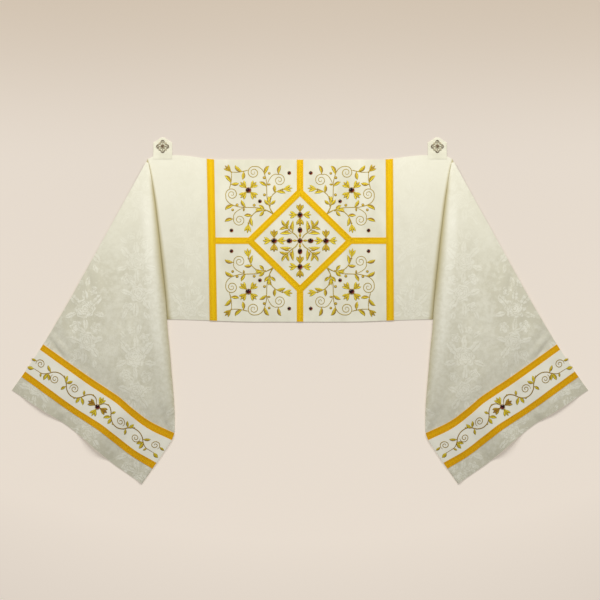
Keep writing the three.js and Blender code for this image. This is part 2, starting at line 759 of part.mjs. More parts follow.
addPair("clasp", place(clasp, -TAB_AT, CLASP_AT_Y, TAB_THICKNESS + GAP), pewter);

// The origin is at the middle of the underside
const box = new THREE.Box3().setFromObject(veil, true);
const middle = box.getCenter(new THREE.Vector3());
veil.position.set(-middle.x, -middle.y, -box.min.z);

export default veil;
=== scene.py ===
# A humeral veil laid flat with its front up: ivory damask, gold braid, gold embroidery,
# red stones, and a pointed tab with half a clasp above each shoulder corner.
# Sizes are in millimetres until a mesh is made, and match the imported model's own.
import math

import bpy
import numpy as np
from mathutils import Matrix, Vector


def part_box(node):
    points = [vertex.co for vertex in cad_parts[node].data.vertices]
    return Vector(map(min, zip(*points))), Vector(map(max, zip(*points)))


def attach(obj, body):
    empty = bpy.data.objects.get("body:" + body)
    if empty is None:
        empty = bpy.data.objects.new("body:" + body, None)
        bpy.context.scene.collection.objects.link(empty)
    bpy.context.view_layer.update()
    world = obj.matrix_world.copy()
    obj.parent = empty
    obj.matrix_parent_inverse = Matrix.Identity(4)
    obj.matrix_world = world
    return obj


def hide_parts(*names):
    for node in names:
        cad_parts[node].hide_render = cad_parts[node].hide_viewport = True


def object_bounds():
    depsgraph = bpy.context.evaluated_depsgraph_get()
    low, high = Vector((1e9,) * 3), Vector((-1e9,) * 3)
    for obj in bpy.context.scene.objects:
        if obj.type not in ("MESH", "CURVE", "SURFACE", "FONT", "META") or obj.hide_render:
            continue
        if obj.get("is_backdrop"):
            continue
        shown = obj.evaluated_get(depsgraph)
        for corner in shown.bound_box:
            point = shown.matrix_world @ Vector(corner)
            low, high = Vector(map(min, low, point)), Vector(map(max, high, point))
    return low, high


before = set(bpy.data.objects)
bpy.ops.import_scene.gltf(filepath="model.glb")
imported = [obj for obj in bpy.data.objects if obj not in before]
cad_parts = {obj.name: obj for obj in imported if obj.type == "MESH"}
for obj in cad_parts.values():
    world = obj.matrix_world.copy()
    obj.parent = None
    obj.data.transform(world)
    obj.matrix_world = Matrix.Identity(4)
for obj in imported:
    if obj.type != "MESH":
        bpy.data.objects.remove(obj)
cad_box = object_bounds()

# Sizes of the cut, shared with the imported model
VEIL_WIDTH = 550
HALF_SPAN = 517
END_LENGTH = 908
END_WIDTH = 543
CLOTH = 1.4
GAP = 0.3
PANEL = 0.8
BRAID = 0.9
BRAID_WIDTH = 21
SIDE_BRAID_WIDTH = 25
DIAMOND = (170.5, 166)
UPPER_BRAID = END_LENGTH - 174
LOWER_BRAID = END_LENGTH - 61
TAB_AT = 466
PLEAT_SLOPE = math.radians(65.4)
PLEAT_BOTTOM = CLOTH + GAP
PLEAT_TOP = PLEAT_BOTTOM + 3
ON_MIDDLE = CLOTH + GAP
PANEL_TOP = ON_MIDDLE + PANEL
SIDES = ("left", "right")
# The middle's own middle lies this far from the origin
SHIFT_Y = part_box("veil_middle")[0].y * 1000 + VEIL_WIDTH / 2


# Curves
def smooth(x, low, high):
    t = np.clip((np.asarray(x, float) - low) / (high - low), 0, 1)
    return t * t * (3 - 2 * t)


def bump(x):
    x = np.clip(np.abs(x), 0, 1)
    return (1 - x * x) ** 2


def eased(t, start, end, m0, m1):
    """A cubic from one value to another, with a slope at each, as t runs from 0 to 1."""
    rise = end - start
    return start + t * m0 + t**2 * (3 * rise - 2 * m0 - m1) + t**3 * (m0 + m1 - 2 * rise)


class Curve:
    """A smooth curve through a table's rows, level beyond its ends."""

    def __init__(self, *rows):
        self.x, self.y = np.array(rows, float).T
        low = np.maximum(np.arange(len(self.x)) - 1, 0)
        high = np.minimum(np.arange(len(self.x)) + 1, len(self.x) - 1)
        self.slope = (self.y[high] - self.y[low]) / (self.x[high] - self.x[low])

    def __call__(self, x):
        x = np.clip(np.asarray(x, float), self.x[0], self.x[-1])
        i = np.clip(np.searchsorted(self.x, x, side="right") - 1, 0, len(self.x) - 2)
        span = self.x[i + 1] - self.x[i]
        t = (x - self.x[i]) / span
        return eased(t, self.y[i], self.y[i + 1], self.slope[i] * span, self.slope[i + 1] * span)


def neck_edge(x):
    out = np.abs(x)
    return VEIL_WIDTH / 2 + 15 * smooth(out, 270, 420) - 14 * smooth(out, 485, 525)


def lower_edge(x):
    return -VEIL_WIDTH / 2 + 8 * smooth(np.abs(x), 150, 450)


# How far the lower edge lies under the neck edge's corners
DROP = VEIL_WIDTH / 2 - float(lower_edge(HALF_SPAN))


def height_at(x, share):
    """A share of the way up from the lower edge to the neck edge."""
    low = lower_edge(x)
    return low + (neck_edge(x) - low) * share


# How an end lies
# By how far down: how far across the fold lies, out from the end's outer side
FOLD = Curve(
    (0, 0), (54, 45), (108, 87), (163, 127), (219, 167), (289, 216), (344, 255), (401, 293),
    (488, 350), (552, 398), (601, 439), (648, 480), (685, 510), (709, 528), (727, 539),
    (744, END_WIDTH),
)
KNEE = 744
# By how far down: the roll's height, the width of its upper face and of what is tucked under
ROLL_STOPS = (0, 130, 300, 520, 650, KNEE, END_LENGTH)
ROLL_RISE = Curve(*zip(ROLL_STOPS, (1.5, 6, 10, 9, 5, 0, 0)))
ROLL_CREST = Curve(*zip(ROLL_STOPS, (6, 26, 40, 38, 24, 4, 4)))
ROLL_TUCK = Curve(*zip(ROLL_STOPS, (6, 16, 22, 22, 16, 8, 8)))
# By the share of the way across: how far the upper braid, the lower braid and the hem slip back
SLIP_STOPS = (0, 0.2, 0.38, 0.5, 0.59, 0.7, 0.79, 0.87, 1)
SLIP_UPPER = Curve(*zip(SLIP_STOPS, (-3, 2, 6.5, 7, 7.5, 16.5, 21.5, 20.5, 10.5)))
SLIP_LOWER = Curve(*zip(SLIP_STOPS, (-5.5, -4, -1.5, -4, -6.5, -3, 1, 1.5, -4.5)))
SLIP_HEM = Curve(*zip(SLIP_STOPS, (0, -4, -11.5, -10, -6.5, -1, 2, 1, 0)))
# Soft folds: share of the way across, half width as a share, rises at mid, knee and hem
SOFT_FOLDS = [(0.22, 0.17, 2, 4, 6), (0.62, 0.15, 3, 10, 11)]
SLOPE_TOP, SLOPE_HEM, STRAIGHT = math.radians(61), math.radians(54.2), 510
BEND = (SLOPE_TOP - SLOPE_HEM) / (END_LENGTH - STRAIGHT)
TURNED_EDGE = 0.8
ROLL_STEPS = 12


def slope_at(down):
    return SLOPE_TOP - BEND * np.maximum(0, down - STRAIGHT)


def slip_at(down, share):
    """Four rows of a smooth table in down, with the middle two varying across."""
    stops = np.array([540.0, UPPER_BRAID, LOWER_BRAID, END_LENGTH])
    values = [np.zeros_like(share), SLIP_UPPER(share), SLIP_LOWER(share), SLIP_HEM(share)]
    x = np.clip(down, stops[0], stops[-1])
    result = np.zeros_like(share)
    for i in range(3):
        low, high = max(i - 1, 0), min(i + 2, 3)
        span = stops[i + 1] - stops[i]
        m0 = (values[i + 1] - values[low]) / (stops[i + 1] - stops[low]) * span
        m1 = (values[high] - values[i]) / (stops[high] - stops[i]) * span
        y = eased((x - stops[i]) / span, values[i], values[i + 1], m0, m1)
        result = np.where((x >= stops[i]) & (x <= stops[i + 1]), y, result)
    return result


def plan_point(down, across):
    """Where a point of the left end lies, in x and y."""
    down, across = np.broadcast_arrays(np.asarray(down, float), np.asarray(across, float))
    now = slope_at(down)
    straight = np.minimum(down, STRAIGHT)
    c, s = math.cos(SLOPE_TOP), math.sin(SLOPE_TOP)
    x = -HALF_SPAN - straight * c - (s - np.sin(now)) / BEND
    y = VEIL_WIDTH / 2 - straight * s - (np.cos(now) - c) / BEND
    slip = slip_at(down, across / np.maximum(1, FOLD(down)))
    return (
        x + across * np.sin(now) - slip * np.cos(now),
        y - across * np.cos(now) - slip * np.sin(now),
    )


def pleat_outline():
    points = [
        (-HALF_SPAN - 45 * math.cos(PLEAT_SLOPE) + 4, VEIL_WIDTH / 2 - 45 * math.sin(PLEAT_SLOPE)),
        (-HALF_SPAN - DROP / math.tan(PLEAT_SLOPE), VEIL_WIDTH / 2 - DROP),
    ]
    for down in range(640, 60, -58):
        inset = ROLL_CREST(down) * 0.5 + ROLL_TUCK(down) + 12
        points.append([float(c) for c in plan_point(down, FOLD(down) - inset)])
    return np.array(points)


PLEAT = pleat_outline()


def distance_outside(x, y):
    """How far points lie outside the pleat's outline; 0 within it."""
    inside = np.zeros(x.shape, bool)
    least = np.full(x.shape, np.inf)
    for a, b in zip(PLEAT, np.roll(PLEAT, -1, axis=0)):
        side = b - a
        share = np.clip(((x - a[0]) * side[0] + (y - a[1]) * side[1]) / (side @ side), 0, 1)
        least = np.minimum(least, np.hypot(x - a[0] - share * side[0], y - a[1] - share * side[1]))
        if a[1] != b[1]:
            crosses = (a[1] > y) != (b[1] > y)
            inside ^= crosses & (x < a[0] + (y - a[1]) / (b[1] - a[1]) * side[0])
    return np.where(inside, 0, least)


def support(x, y):
    return (PLEAT_TOP + GAP) * (1 - smooth(distance_outside(x, y), 45, 120))


def soft_rise(down, share):
    total = 0
    for at, half, mid, knee, hem in SOFT_FOLDS:
        rise = Curve((180, 0), (450, mid), (KNEE, knee), (END_LENGTH, hem))
        total = total + rise(down) * bump((share - at) / half)
    return total


# Small creases of an end: down, across, length, width, rise, and the way each runs in degrees
CREASES = [
    (692, 50, 120, 13, 2.4, 16),
    (708, 42, 95, 6, -2.2, 16),
    (465, 34, 120, 10, -2.0, 50),
    (450, 60, 120, 14, 1.4, 54),
    (585, 40, 130, 20, -1.6, 56),
    (600, 85, 120, 18, 1.4, 58),
    (532, 198, 80, 15, -1.5, 56),
    (545, 232, 120, 18, 1.2, 58),
    (560, 310, 190, 24, 1.6, 70),
    (330, 150, 240, 24, 1.2, 80),
    (660, 400, 120, 16, 1.6, 60),
    (677, 372, 110, 10, -1.4, 62),
    (800, 150, 120, 18, 1.5, 80),
    (885, 182, 60, 16, 2.2, 84),
    (885, 245, 60, 12, -1.6, 84),
    (880, 470, 80, 14, -1.4, 78),
    (870, 400, 80, 14, 1.6, 74),
    (885, 60, 60, 14, 1.5, 80),
]


def crease(down, across):
    """Soft ridges and troughs, each fading to its ends."""
    total = 0
    for at_down, at_across, length, width, rise, turn in CREASES:
        c, s = math.cos(math.radians(turn)), math.sin(math.radians(turn))
        along = (down - at_down) * s + (across - at_across) * c
        over = (across - at_across) * s - (down - at_down) * c
        total = total + rise * bump(along / length * 1.6) * bump(over / width / 1.4)
    wander = np.sin(across / 17 + 1.4 * np.sin(down / 31)) * np.sin(down / 23 + np.sin(across / 37))
    return total + wander * (0.25 + 0.4 * smooth(down, 250, 700))


def end_frame(down):
    """The cross-section's own sizes at each way down."""
    across = np.maximum(1, FOLD(down))
    crest = np.minimum(ROLL_CREST(down), across * 0.55)
    tuck = np.minimum(ROLL_TUCK(down), across * 0.4)
    low = CLOTH / 2 + PLEAT_BOTTOM * (1 - smooth(down, KNEE - 130, KNEE))
    x, y = plan_point(down, across - crest)
    lowest = np.maximum(support(x, y) + CLOTH / 2, low + CLOTH + TURNED_EDGE)
    top = lowest + ROLL_RISE(down)
    return across, crest, tuck, low, top, low + (top - low) * 0.45


def open_cloth(down, at):
    """The middle surface of an end's open cloth, at a way down and across."""
    down, at = np.broadcast_arrays(np.asarray(down, float), np.asarray(at, float))
    across, crest, _, _, top, _ = end_frame(down)
    x, y = plan_point(down, at)
    rest = support(x, y) + CLOTH / 2 + soft_rise(down, at / across)
    rest = rest + np.maximum(crease(down, at), -0.8 * rest + CLOTH / 2) * smooth(down, 60, 200)
    towards_roll = 1 - smooth(across - crest - at, 0, np.maximum(3.2 * crest, 26))
    return np.stack([x, y, rest + (top - rest) * towards_roll], axis=-1)


def over_end(down, at, height):
    """A point over the open cloth, measured along its own normal."""
    step = 2.0
    point = open_cloth(down, at)
    along = open_cloth(down + step, at) - open_cloth(down - step, at)
    over = open_cloth(down, at + step) - open_cloth(down, at - step)
    normal = np.cross(along, over)
    normal /= np.linalg.norm(normal, axis=-1, keepdims=True)
    return point + normal * np.asarray(height, float)[..., None]


def end_sections(rows, columns):
    """The whole middle surface of an end as a grid, with its plan as if unrolled, for the weave, and its
    painted shade and highlight.
    """
    down = np.concatenate([np.linspace(9, 60, 14)[:-1], np.linspace(60, END_LENGTH, rows)])[:, None]
    across, crest, tuck, low, top, edge = end_frame(down)
    share = np.linspace(0, 1, columns)[None, :]
    at = share * (across - crest)
    open_part = open_cloth(down, at)
    parts, unrolled = [open_part], [at + 0 * down]
    deep = np.minimum(crest * 0.5, edge - low + 1)
    turned = across - crest
    turns = np.linspace(0, 180, 2 * ROLL_STEPS + 1)[1:]
    for turn in np.radians(turns):
        upper = turn <= math.pi / 2
        depth = crest if upper else deep
        x, y = plan_point(down, across - depth * (1 - math.sin(turn)))
        z = edge + (top - edge if upper else edge - low) * math.cos(turn)
        parts.append(np.stack([x, y, z], axis=-1))
        turned = turned + depth * math.pi / 2 / ROLL_STEPS
        unrolled.append(turned)
    for share_of_tuck in (0.33, 0.66, 1):
        x, y = plan_point(down, across - deep - tuck * share_of_tuck)
        parts.append(np.stack([x, y, low + 0 * x], axis=-1))
        unrolled.append(turned + tuck * share_of_tuck)
    flat = np.concatenate(unrolled, axis=1)
    turn = np.concatenate([np.zeros(columns), turns, np.full(3, 180)])
    # Painted shade: the roll's underside and turned-in edge are darkened towards olive, as if in the
    # fold's shade
    painted_crevice_shade = 0.85 * smooth(turn, 5, 78) * smooth(down, 20, 90) * (1 - smooth(down, 600, 720))
    painted_crevice_shade = painted_crevice_shade * (1 - 0.4 * smooth(down, 330, 430))
    # Painted highlight: a lighter band along the roll's crest
    crest_light = bump((across - flat - 1.15 * crest) / 34)
    crest_light = crest_light * smooth(down, 60, 220) * (1 - smooth(down, 480, 640))
    # Painted shade: the outer part of each end's lower half, and its hem, are darkened
    painted_shade = bump((flat - 30) / 130) * bump((down - 500) / 190)
    painted_shade = np.maximum(painted_shade, smooth(down, 872, 904) * (1.15 - 0.5 * smooth(flat, 330, 460)))
    tone = np.stack(np.broadcast_arrays(painted_crevice_shade, crest_light, painted_shade), axis=-1)
    now = slope_at(down)
    base_x, base_y = plan_point(down, 0 * down)
    uv = np.stack([base_x + flat * np.sin(now), base_y - flat * np.cos(now)], axis=-1)
    return np.concatenate(parts, axis=1), uv, tone


# Meshes
def grid_faces(rows, columns, turned=False, ring=False, loop=False):
    """Faces over rows of points. A ring closes each row; a loop joins the last row to the first."""
    i, j = np.meshgrid(np.arange(rows - (not loop)), np.arange(columns - (not ring)), indexing="ij")
    low, high, onward = i * columns, (i + 1) % rows * columns, (j + 1) % columns
    corners = [low + j, high + j, high + onward, low + onward]
    if turned:
        corners[1:] = corners[:0:-1]
    return np.stack([corner.ravel() for corner in corners], axis=1)


def lengths(line):
    """How far along a line each of its points lies."""
    return np.concatenate([[0], np.cumsum(np.linalg.norm(np.diff(line, axis=0), axis=1))])


def normals_of(grid):
    normal = np.cross(np.gradient(grid, axis=0), np.gradient(grid, axis=1))
    return normal / np.maximum(np.linalg.norm(normal, axis=-1, keepdims=True), 1e-9)


def make(name, points, faces, material, uv=None, tone=None, flat=False):
    """A mesh object from millimetres, riding on the one body."""
    points = np.array(points, float).reshape(-1, 3)
    points = (points + (0, SHIFT_Y, 0)) / 1000
    mesh = bpy.data.meshes.new(name)
    mesh.from_pydata(points.tolist(), [], [list(map(int, f)) for f in faces])
    loops = np.zeros(len(mesh.loops), int)
    mesh.loops.foreach_get("vertex_index", loops)
    if uv is not None:
        layer = mesh.uv_layers.new(name="UVMap")
        layer.data.foreach_set("uv", (np.asarray(uv, float).reshape(-1, 2)[loops] / 1000).ravel())
    if tone is not None:
        colours = np.zeros((len(points), 4))
        colours[:, : np.shape(tone)[-1]] = np.asarray(tone, float).reshape(len(points), -1)
        layer = mesh.color_attributes.new("thread", "FLOAT_COLOR", "POINT")
        layer.data.foreach_set("color", colours.ravel())
    mesh.polygons.foreach_set("use_smooth", np.full(len(mesh.polygons), not flat))
    mesh.materials.append(material)
    thing = bpy.data.objects.new(name, mesh)
    bpy.context.scene.collection.objects.link(thing)
    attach(thing, "root")
    return thing


def shell(name, outer, inner, material, uv, tone=None):
    """A closed wall between two grids of the same size."""
    rows, columns = outer.shape[:2]
    n = rows * columns
    faces = [grid_faces(rows, columns), n + grid_faces(rows, columns, turned=True)]
    edge = np.concatenate([
        np.arange(columns - 1),
        np.arange(rows - 1) * columns + columns - 1,
        n - 1 - np.arange(columns - 1),
        (rows - 1 - np.arange(rows - 1)) * columns,
    ])
    onward = np.roll(edge, -1)
    faces.append(np.stack([edge, onward, onward + n, edge + n], axis=1))
    points = np.concatenate([outer.reshape(-1, 3), inner.reshape(-1, 3)])
    uv = np.tile(np.asarray(uv, float).reshape(-1, 2), (2, 1))
    if tone is not None:
        tone = np.tile(np.reshape(tone, (n, -1)), (2, 1))
    thing = make(name, points, np.concatenate(faces), material, uv, tone)
    thing.data.set_sharp_from_angle(angle=math.radians(55))
    return thing


def mirrored(thing):
    """The right-hand copy of a left-hand piece."""
    mesh = thing.data.copy()
    co = np.zeros(len(mesh.vertices) * 3)
    mesh.vertices.foreach_get("co", co)
    co[0::3] *= -1
    mesh.vertices.foreach_set("co", co)
    mesh.flip_normals()
    mesh.update()
    copy = bpy.data.objects.new(thing.name.replace("left", "right"), mesh)
    bpy.context.scene.collection.objects.link(copy)
    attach(copy, "root")
    return copy


def dress(thing, slot, *nodes, flat=None, held="laid", under=None, **area):
    """Hides the solids that a piece replaces; its slot, and for cloth its cut and what it lies on, are not
    used.
    """
    if nodes:
        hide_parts(*nodes)


def dress_both(left, slot, node=None, under="", **cut):
    """Dresses a left-hand piece and its mirror. The braces in a name stand for the side."""
    for thing, side in ((left, "left"), (mirrored(left), "right")):
        nodes = [node.format(side)] if node else []
        dress(thing, slot, *nodes, under=under.format(side), **cut)


# Materials
class Field:
    """A number that varies over a surface, worked out by Math nodes."""

    def __init__(self, tree, socket):
        self.tree, self.socket = tree, socket

    def math(self, operation, *others, clamp=False):
        node = self.tree.nodes.new("ShaderNodeMath")
        node.operation, node.use_clamp = operation, clamp
        for place, value in zip(node.inputs, (self, *others)):
            if isinstance(value, Field):
                self.tree.links.new(value.socket, place)
            else:
                place.default_value = value
        return Field(self.tree, node.outputs[0])

    def __add__(self, other):
        return self.math("ADD", other)

    def __sub__(self, other):
        return self.math("SUBTRACT", other)

    def __mul__(self, other):
        return self.math("MULTIPLY", other)

    def __truediv__(self, other):
        return self.math("DIVIDE", other)

    def __abs__(self):
        return self.math("ABSOLUTE")

    def sin(self):
        return self.math("SINE")

    def cos(self):
        return self.math("COSINE")

    def top(self, other):
        return self.math("MAXIMUM", other)

    def over(self, low, gain):
        """How far this is over a value, times a gain, kept from 0 to 1."""
        return (self - low).math("MULTIPLY", gain, clamp=True)

    def below(self, limit, soft):
        """1 where this is under the limit, 0 over it."""
        node = self.tree.nodes.new("ShaderNodeMapRange")
        node.interpolation_type = "SMOOTHSTEP"
        self.tree.links.new((self - limit).socket, node.inputs["Value"])
        for name, value in (("From Min", -soft), ("From Max", soft), ("To Min", 1), ("To Max", 0)):
            node.inputs[name].default_value = value
        return Field(self.tree, node.outputs["Result"])


class Look:
    """A material under construction."""

    def __init__(self, name, roughness=0.6, metallic=0.0, sheen=0.0, specular=0.5):
        self.material = bpy.data.materials.new(name)
        self.material.use_nodes = True
        self.tree = self.material.node_tree
        self.shader = self.tree.nodes["Principled BSDF"]
        self.set("Roughness", roughness)
        self.set("Metallic", metallic)
        self.set("Specular IOR Level", specular)
        if sheen:
            self.set("Sheen Weight", sheen)
            self.set("Sheen Roughness", 0.5)

    def set(self, socket, value):
        self.shader.inputs[socket].default_value = value

    def link(self, value, socket):
        self.tree.links.new(value.socket, self.shader.inputs[socket])

    def node(self, kind, source=None, **values):
        """A new node, with its first input linked to a source and others set by name."""
        node = self.tree.nodes.new("ShaderNode" + kind)
        if source:
            self.tree.links.new(source, node.inputs[0])
        for name, value in values.items():
            node.inputs[name].default_value = value
        return node

    def parts(self, output, kind="XYZ"):
        """The three parts of a vector or a colour."""
        return [Field(self.tree, part) for part in self.node("Separate" + kind, output).outputs]

    def plan(self):
        """The UV coordinates in millimetres."""
        uv = self.node("UVMap")
        uv.uv_map = "UVMap"
        return [part * 1000.0 for part in self.parts(uv.outputs[0])[:2]]

    def place(self):
        """The object's own coordinates, in metres."""
        return self.parts(self.node("TexCoord").outputs["Object"])

    def thread(self):
        """The red, green and blue of the needlework's own attribute, which on the cloth, stones and clasp
        also holds painted shade, highlight and glint.
        """
        node = self.node("VertexColor")
        node.layer_name = "thread"
        return self.parts(node.outputs["Color"], "Color")

    def noise(self, scale, detail=3.0, stretch=(1, 1, 1)):
        """Noise over the object's own coordinates, with features of about 1/scale metres."""
        place = self.node("Mapping", self.node("TexCoord").outputs["Object"], Scale=stretch)
        noise = self.node("TexNoise", place.outputs[0], Scale=scale, Detail=detail)
        return Field(self.tree, noise.outputs[0])

    def mix(self, share, low, high):
        """A colour between two, each a tuple or an output."""
        node = self.node("Mix")
        node.data_type = "RGBA"
        self.tree.links.new(share.socket, node.inputs["Factor"])
        for place, colour in ((6, low), (7, high)):
            if isinstance(colour, tuple):
                node.inputs[place].default_value = (*colour, 1)
            else:
                self.tree.links.new(colour, node.inputs[place])
        return node.outputs[2]

    def colour(self, output):
        self.tree.links.new(output, self.shader.inputs["Base Color"])

    def relief(self, height, depth):
        """Bump, with its full depth in millimetres."""
        node = self.node("Bump", Distance=depth / 1000)
        self.tree.links.new(height.socket, node.inputs["Height"])
        self.tree.links.new(node.outputs[0], self.shader.inputs["Normal"])


def highest(fields):
    """The greatest of several fields."""
    most, *others = fields
    for field in others:
        most = most.top(field)
    return most


def polar(x, y, x0, y0):
    dx, dy = x - x0, y - y0
    return (dx * dx + dy * dy).math("SQRT"), dy.math("ARCTAN2", dx)


def blossom(x, y, x0, y0, radius, petals, ruffle, rings):
    """A rose seen from the front: a scalloped disc, and thin rings of petal edges in it."""
    r, angle = polar(x, y, x0, y0)
    wave = (angle * petals).cos() * ruffle
    disc = (r - wave).below(radius, 1.2)
    lines = [
        abs(r - (angle * (petals - k) + 1.3 * k).cos() * (ruffle * share) - radius * share).below(0.9, 0.7)
        for k, share in enumerate(rings)
    ]
    return disc, highest(lines)


def blade(x, y, x0, y0, turn, length, width):
    """A pointed leaf and its midrib."""
    c, s = math.cos(math.radians(turn)), math.sin(math.radians(turn))
    along = ((x - x0) * c + (y - y0) * s) / (length / 2)
    over = ((y - y0) * c - (x - x0) * s) / (width / 2)
    leaf = (along * along + abs(over)).below(1, 0.12)
    rib = abs(over).below(0.12, 0.1) * leaf
    return leaf, rib


# Blossoms of a bouquet: across, up, radius, petals, ruffle, and the rings of petal edges
BLOSSOMS = (
    (2, 46, 33, 8, 3.4, (0.2, 0.42, 0.62, 0.82)),
    (-6, -62, 29, 7, 3.0, (0.24, 0.5, 0.76)),
    (33, -14, 18, 5, 2.6, (0.35, 0.7)),
    (-36, -16, 16, 5, 2.4, (0.4, 0.72)),
    (30, -108, 16, 5, 2.4, (0.4, 0.72)),
    (-26, 106, 15, 5, 2.4, (0.45, 0.75)),
    (18, 132, 12, 5, 2.0, (0.5,)),
)
# Leaves of a bouquet: across, up, the way each points in degrees, length and width
BLADES = (
    (-38, 72, 128, 54, 24),
    (38, 78, 50, 54, 24),
    (2, 92, 84, 46, 20),
    (-48, 26, 196, 40, 18),
    (50, 24, -20, 42, 18),
    (0, -6, 84, 44, 18),
    (12, -26, 30, 34, 14),
    (-44, -56, 156, 38, 17),
    (38, -58, 20, 44, 19),
    (-34, -98, 232, 48, 21),
    (4, -116, -84, 50, 20),
    (-8, 138, 104, 42, 16),
    (-34, -138, 250, 34, 15),
    (44, -134, -60, 32, 14),
    (46, 118, 40, 32, 14),
)


def damask_figure(look):
    """Columns of tall mixed bouquets, each column dropped by half a repeat from its neighbours."""
    x, y = look.plan()
    x = x + (look.noise(60, 2) - 0.5) * 12.0
    y = y + (look.noise(80, 2) - 0.5) * 12.0
    across, repeat = 174.0, 318.0
    column = (abs(x) - 553.0) / across + 100.5
    number = column.math("FLOOR")
    u = (column - number - 0.5) * across
    drop = number.math("MODULO", 2.0) * (repeat / 2)
    v = ((y + drop + 4092.0) / repeat).math("FRACT") * repeat - repeat / 2
    drawn = [blade(u, v, *leaf) for leaf in BLADES] + [blossom(u, v, *flower) for flower in BLOSSOMS]
    fill, line = (highest(kind) for kind in zip(*drawn))
    around = (u * u / 66.0**2 + v * v / 150.0**2).below(0.95, 0.5)
    return fill, line, around


def weave(x, y, pitch):
    """Fine warp and weft."""
    turn = 2 * math.pi / pitch
    return (x * turn).sin() * (y * turn).sin()


def damask_look(name, contrast):
    """The damask; the needlework's attribute carries painted shade in a fold's hollow (red), a painted
    highlight along a roll's crest (green) and painted shade on the lower ends (blue).
    """
    look = Look(name, roughness=0.5, sheen=0.1, specular=0.35)
    fill, line, around = damask_figure(look)
    x, y = look.plan()
    shade = look.noise(9, 3)
    # Painted sheen: the figure shows faintly at the top and fully towards the hem
    near_hem = y.below(-60.0, 190.0) * 0.75 + 0.25
    veins = look.noise(190, 3).over(0.42, 6.0)
    figure = fill * (veins * 0.45 + 0.55) * near_hem
    figure = figure - line * fill * near_hem * 1.15
    gaps = look.noise(26, 2).over(0.36, 5.0)
    figure = figure - around * gaps * near_hem * (fill * -1.0 + 1.0) * 0.42
    sprigs = ((look.noise(75, 4) - 0.5) * 7.0).top(-1.0).math("MINIMUM", 1.0) * near_hem
    # Red is painted shade in a fold, green a painted highlight on a crest, blue painted shade on the lower
    # ends
    painted_crevice_shade, painted_crest_highlight, painted_shade = look.thread()
    patches = look.noise(40, 3).over(0.4, 4.0)
    # Painted shade on the lower ends darkens the cloth there, in mottled patches, and strengthens the
    # figure
    tone = figure * (painted_shade * 0.5 + contrast) + sprigs * (painted_shade * 0.3 + contrast * 0.4)
    tone = tone + (shade - 0.5) * 0.35 + 0.42 + painted_crest_highlight * 0.45 - painted_shade * (patches * 0.5 + 0.35)
    cloth = look.mix(tone, (0.70, 0.675, 0.53), (0.885, 0.87, 0.74))
    # Painted shade: the fold's hollow, and the middle beside it, are mixed towards olive
    look.colour(look.mix(painted_crevice_shade, cloth, (0.40, 0.335, 0.13)))
    look.link(figure * -0.14 + 0.56, "Roughness")
    threads = weave(x, y, 0.9) * 0.25 + look.noise(600, 2) * 0.35
    look.relief(figure * 0.8 + threads, 0.2)
    return look.material


def satin_look(name, low, high):
    look = Look(name, roughness=0.5, sheen=0.1, specular=0.35)
    x, y = look.plan()
    cloudy = (look.noise(11, 4, (1.5, 0.8, 1)) - 0.5) * 1.7
    # Painted shade and sheen: the satin is darker towards the top and lighter towards the lower edge
    upward = look.place()[1] / 0.55
    look.colour(look.mix(cloudy - upward * 0.55 + 0.68, low, high))
    threads = weave(x, y, 0.8) * 0.3 + look.noise(500, 2, (1, 6, 1)) * 0.5
    look.relief(threads, 0.08)
    return look.material


def braid_look(name, width, gold, shadow):
    """Woven metallic braid: cords along both edges, a chevron between them."""
    look = Look(name, roughness=0.5, specular=0.1)
    along, over = look.plan()
    half = width / 2
    away = abs(over)
    chevron = ((along + away * 0.9) * (2 * math.pi / 1.7)).sin()
    middle = ((along - away * 0.9) * (2 * math.pi / 2.6)).sin()
    rib = (away * (2 * math.pi / (half / 3))).cos()
    inner = away.below(half * 0.36, 0.3)
    cords = ((along + over * 0.8) * (2 * math.pi / 1.2)).sin()
    edge = away.below(half - 1.9, 0.2)
    height = edge * (chevron * 0.5 + inner * middle * 0.4) + cords * 0.3 + rib * 0.3
    patches = look.noise(160, 3)
    tone = height * 0.14 + (patches - 0.5) * 0.14 + inner * 0.3 + 0.55
    look.colour(look.mix(tone, shadow, gold))
    look.relief(height, 0.3)
    return look.material


def thread_look(name, dark, low, high):
    """Gold thread in satin stitch: red is the way in from a dark edge, partly an outline and partly
    painted shade; green is lightness, with a painted sheen on one half of each leaf.
    """
    look = Look(name, roughness=0.42, metallic=0.15, specular=0.5)
    edge, paleness_and_sheen, _ = look.thread()
    along, over = look.plan()
    lines = ((along - abs(over) * 0.9) * (2 * math.pi / 0.75)).sin()
    grain = look.noise(350, 3)
    gold = look.mix(paleness_and_sheen + lines * 0.1 + (grain - 0.5) * 0.4, low, high)
    look.colour(look.mix(edge, gold, dark))
    look.relief(lines * 0.5 + grain * 0.4, 0.18)
    return look.material


DAMASK_MIDDLE = damask_look("damask_middle", 0.3)
DAMASK_END = damask_look("damask_end", 0.5)
SATIN = satin_look("orphrey_satin", (0.70, 0.68, 0.535), (0.88, 0.86, 0.71))
BORDER_SATIN = satin_look("border_satin", (0.86, 0.83, 0.69), (0.97, 0.95, 0.82))
SIDE_GOLD = braid_look("side_braid", SIDE_BRAID_WIDTH, (1.0, 0.65, 0.006), (0.74, 0.37, 0.002))
PANEL_GOLD = braid_look("panel_braid", BRAID_WIDTH, (1.0, 0.64, 0.004), (0.74, 0.37, 0.002))
END_GOLD = braid_look("end_braid", BRAID_WIDTH, (1.0, 0.55, 0.005), (0.86, 0.37, 0.003))
IVORY_THREAD = thread_look("ivory_thread", (0.45, 0.42, 0.32), (0.70, 0.66, 0.52), (0.92, 0.89, 0.76))
THREAD = thread_look("gold_thread", (0.10, 0.045, 0.006), (0.42, 0.20, 0.004), (1.0, 0.80, 0.03))


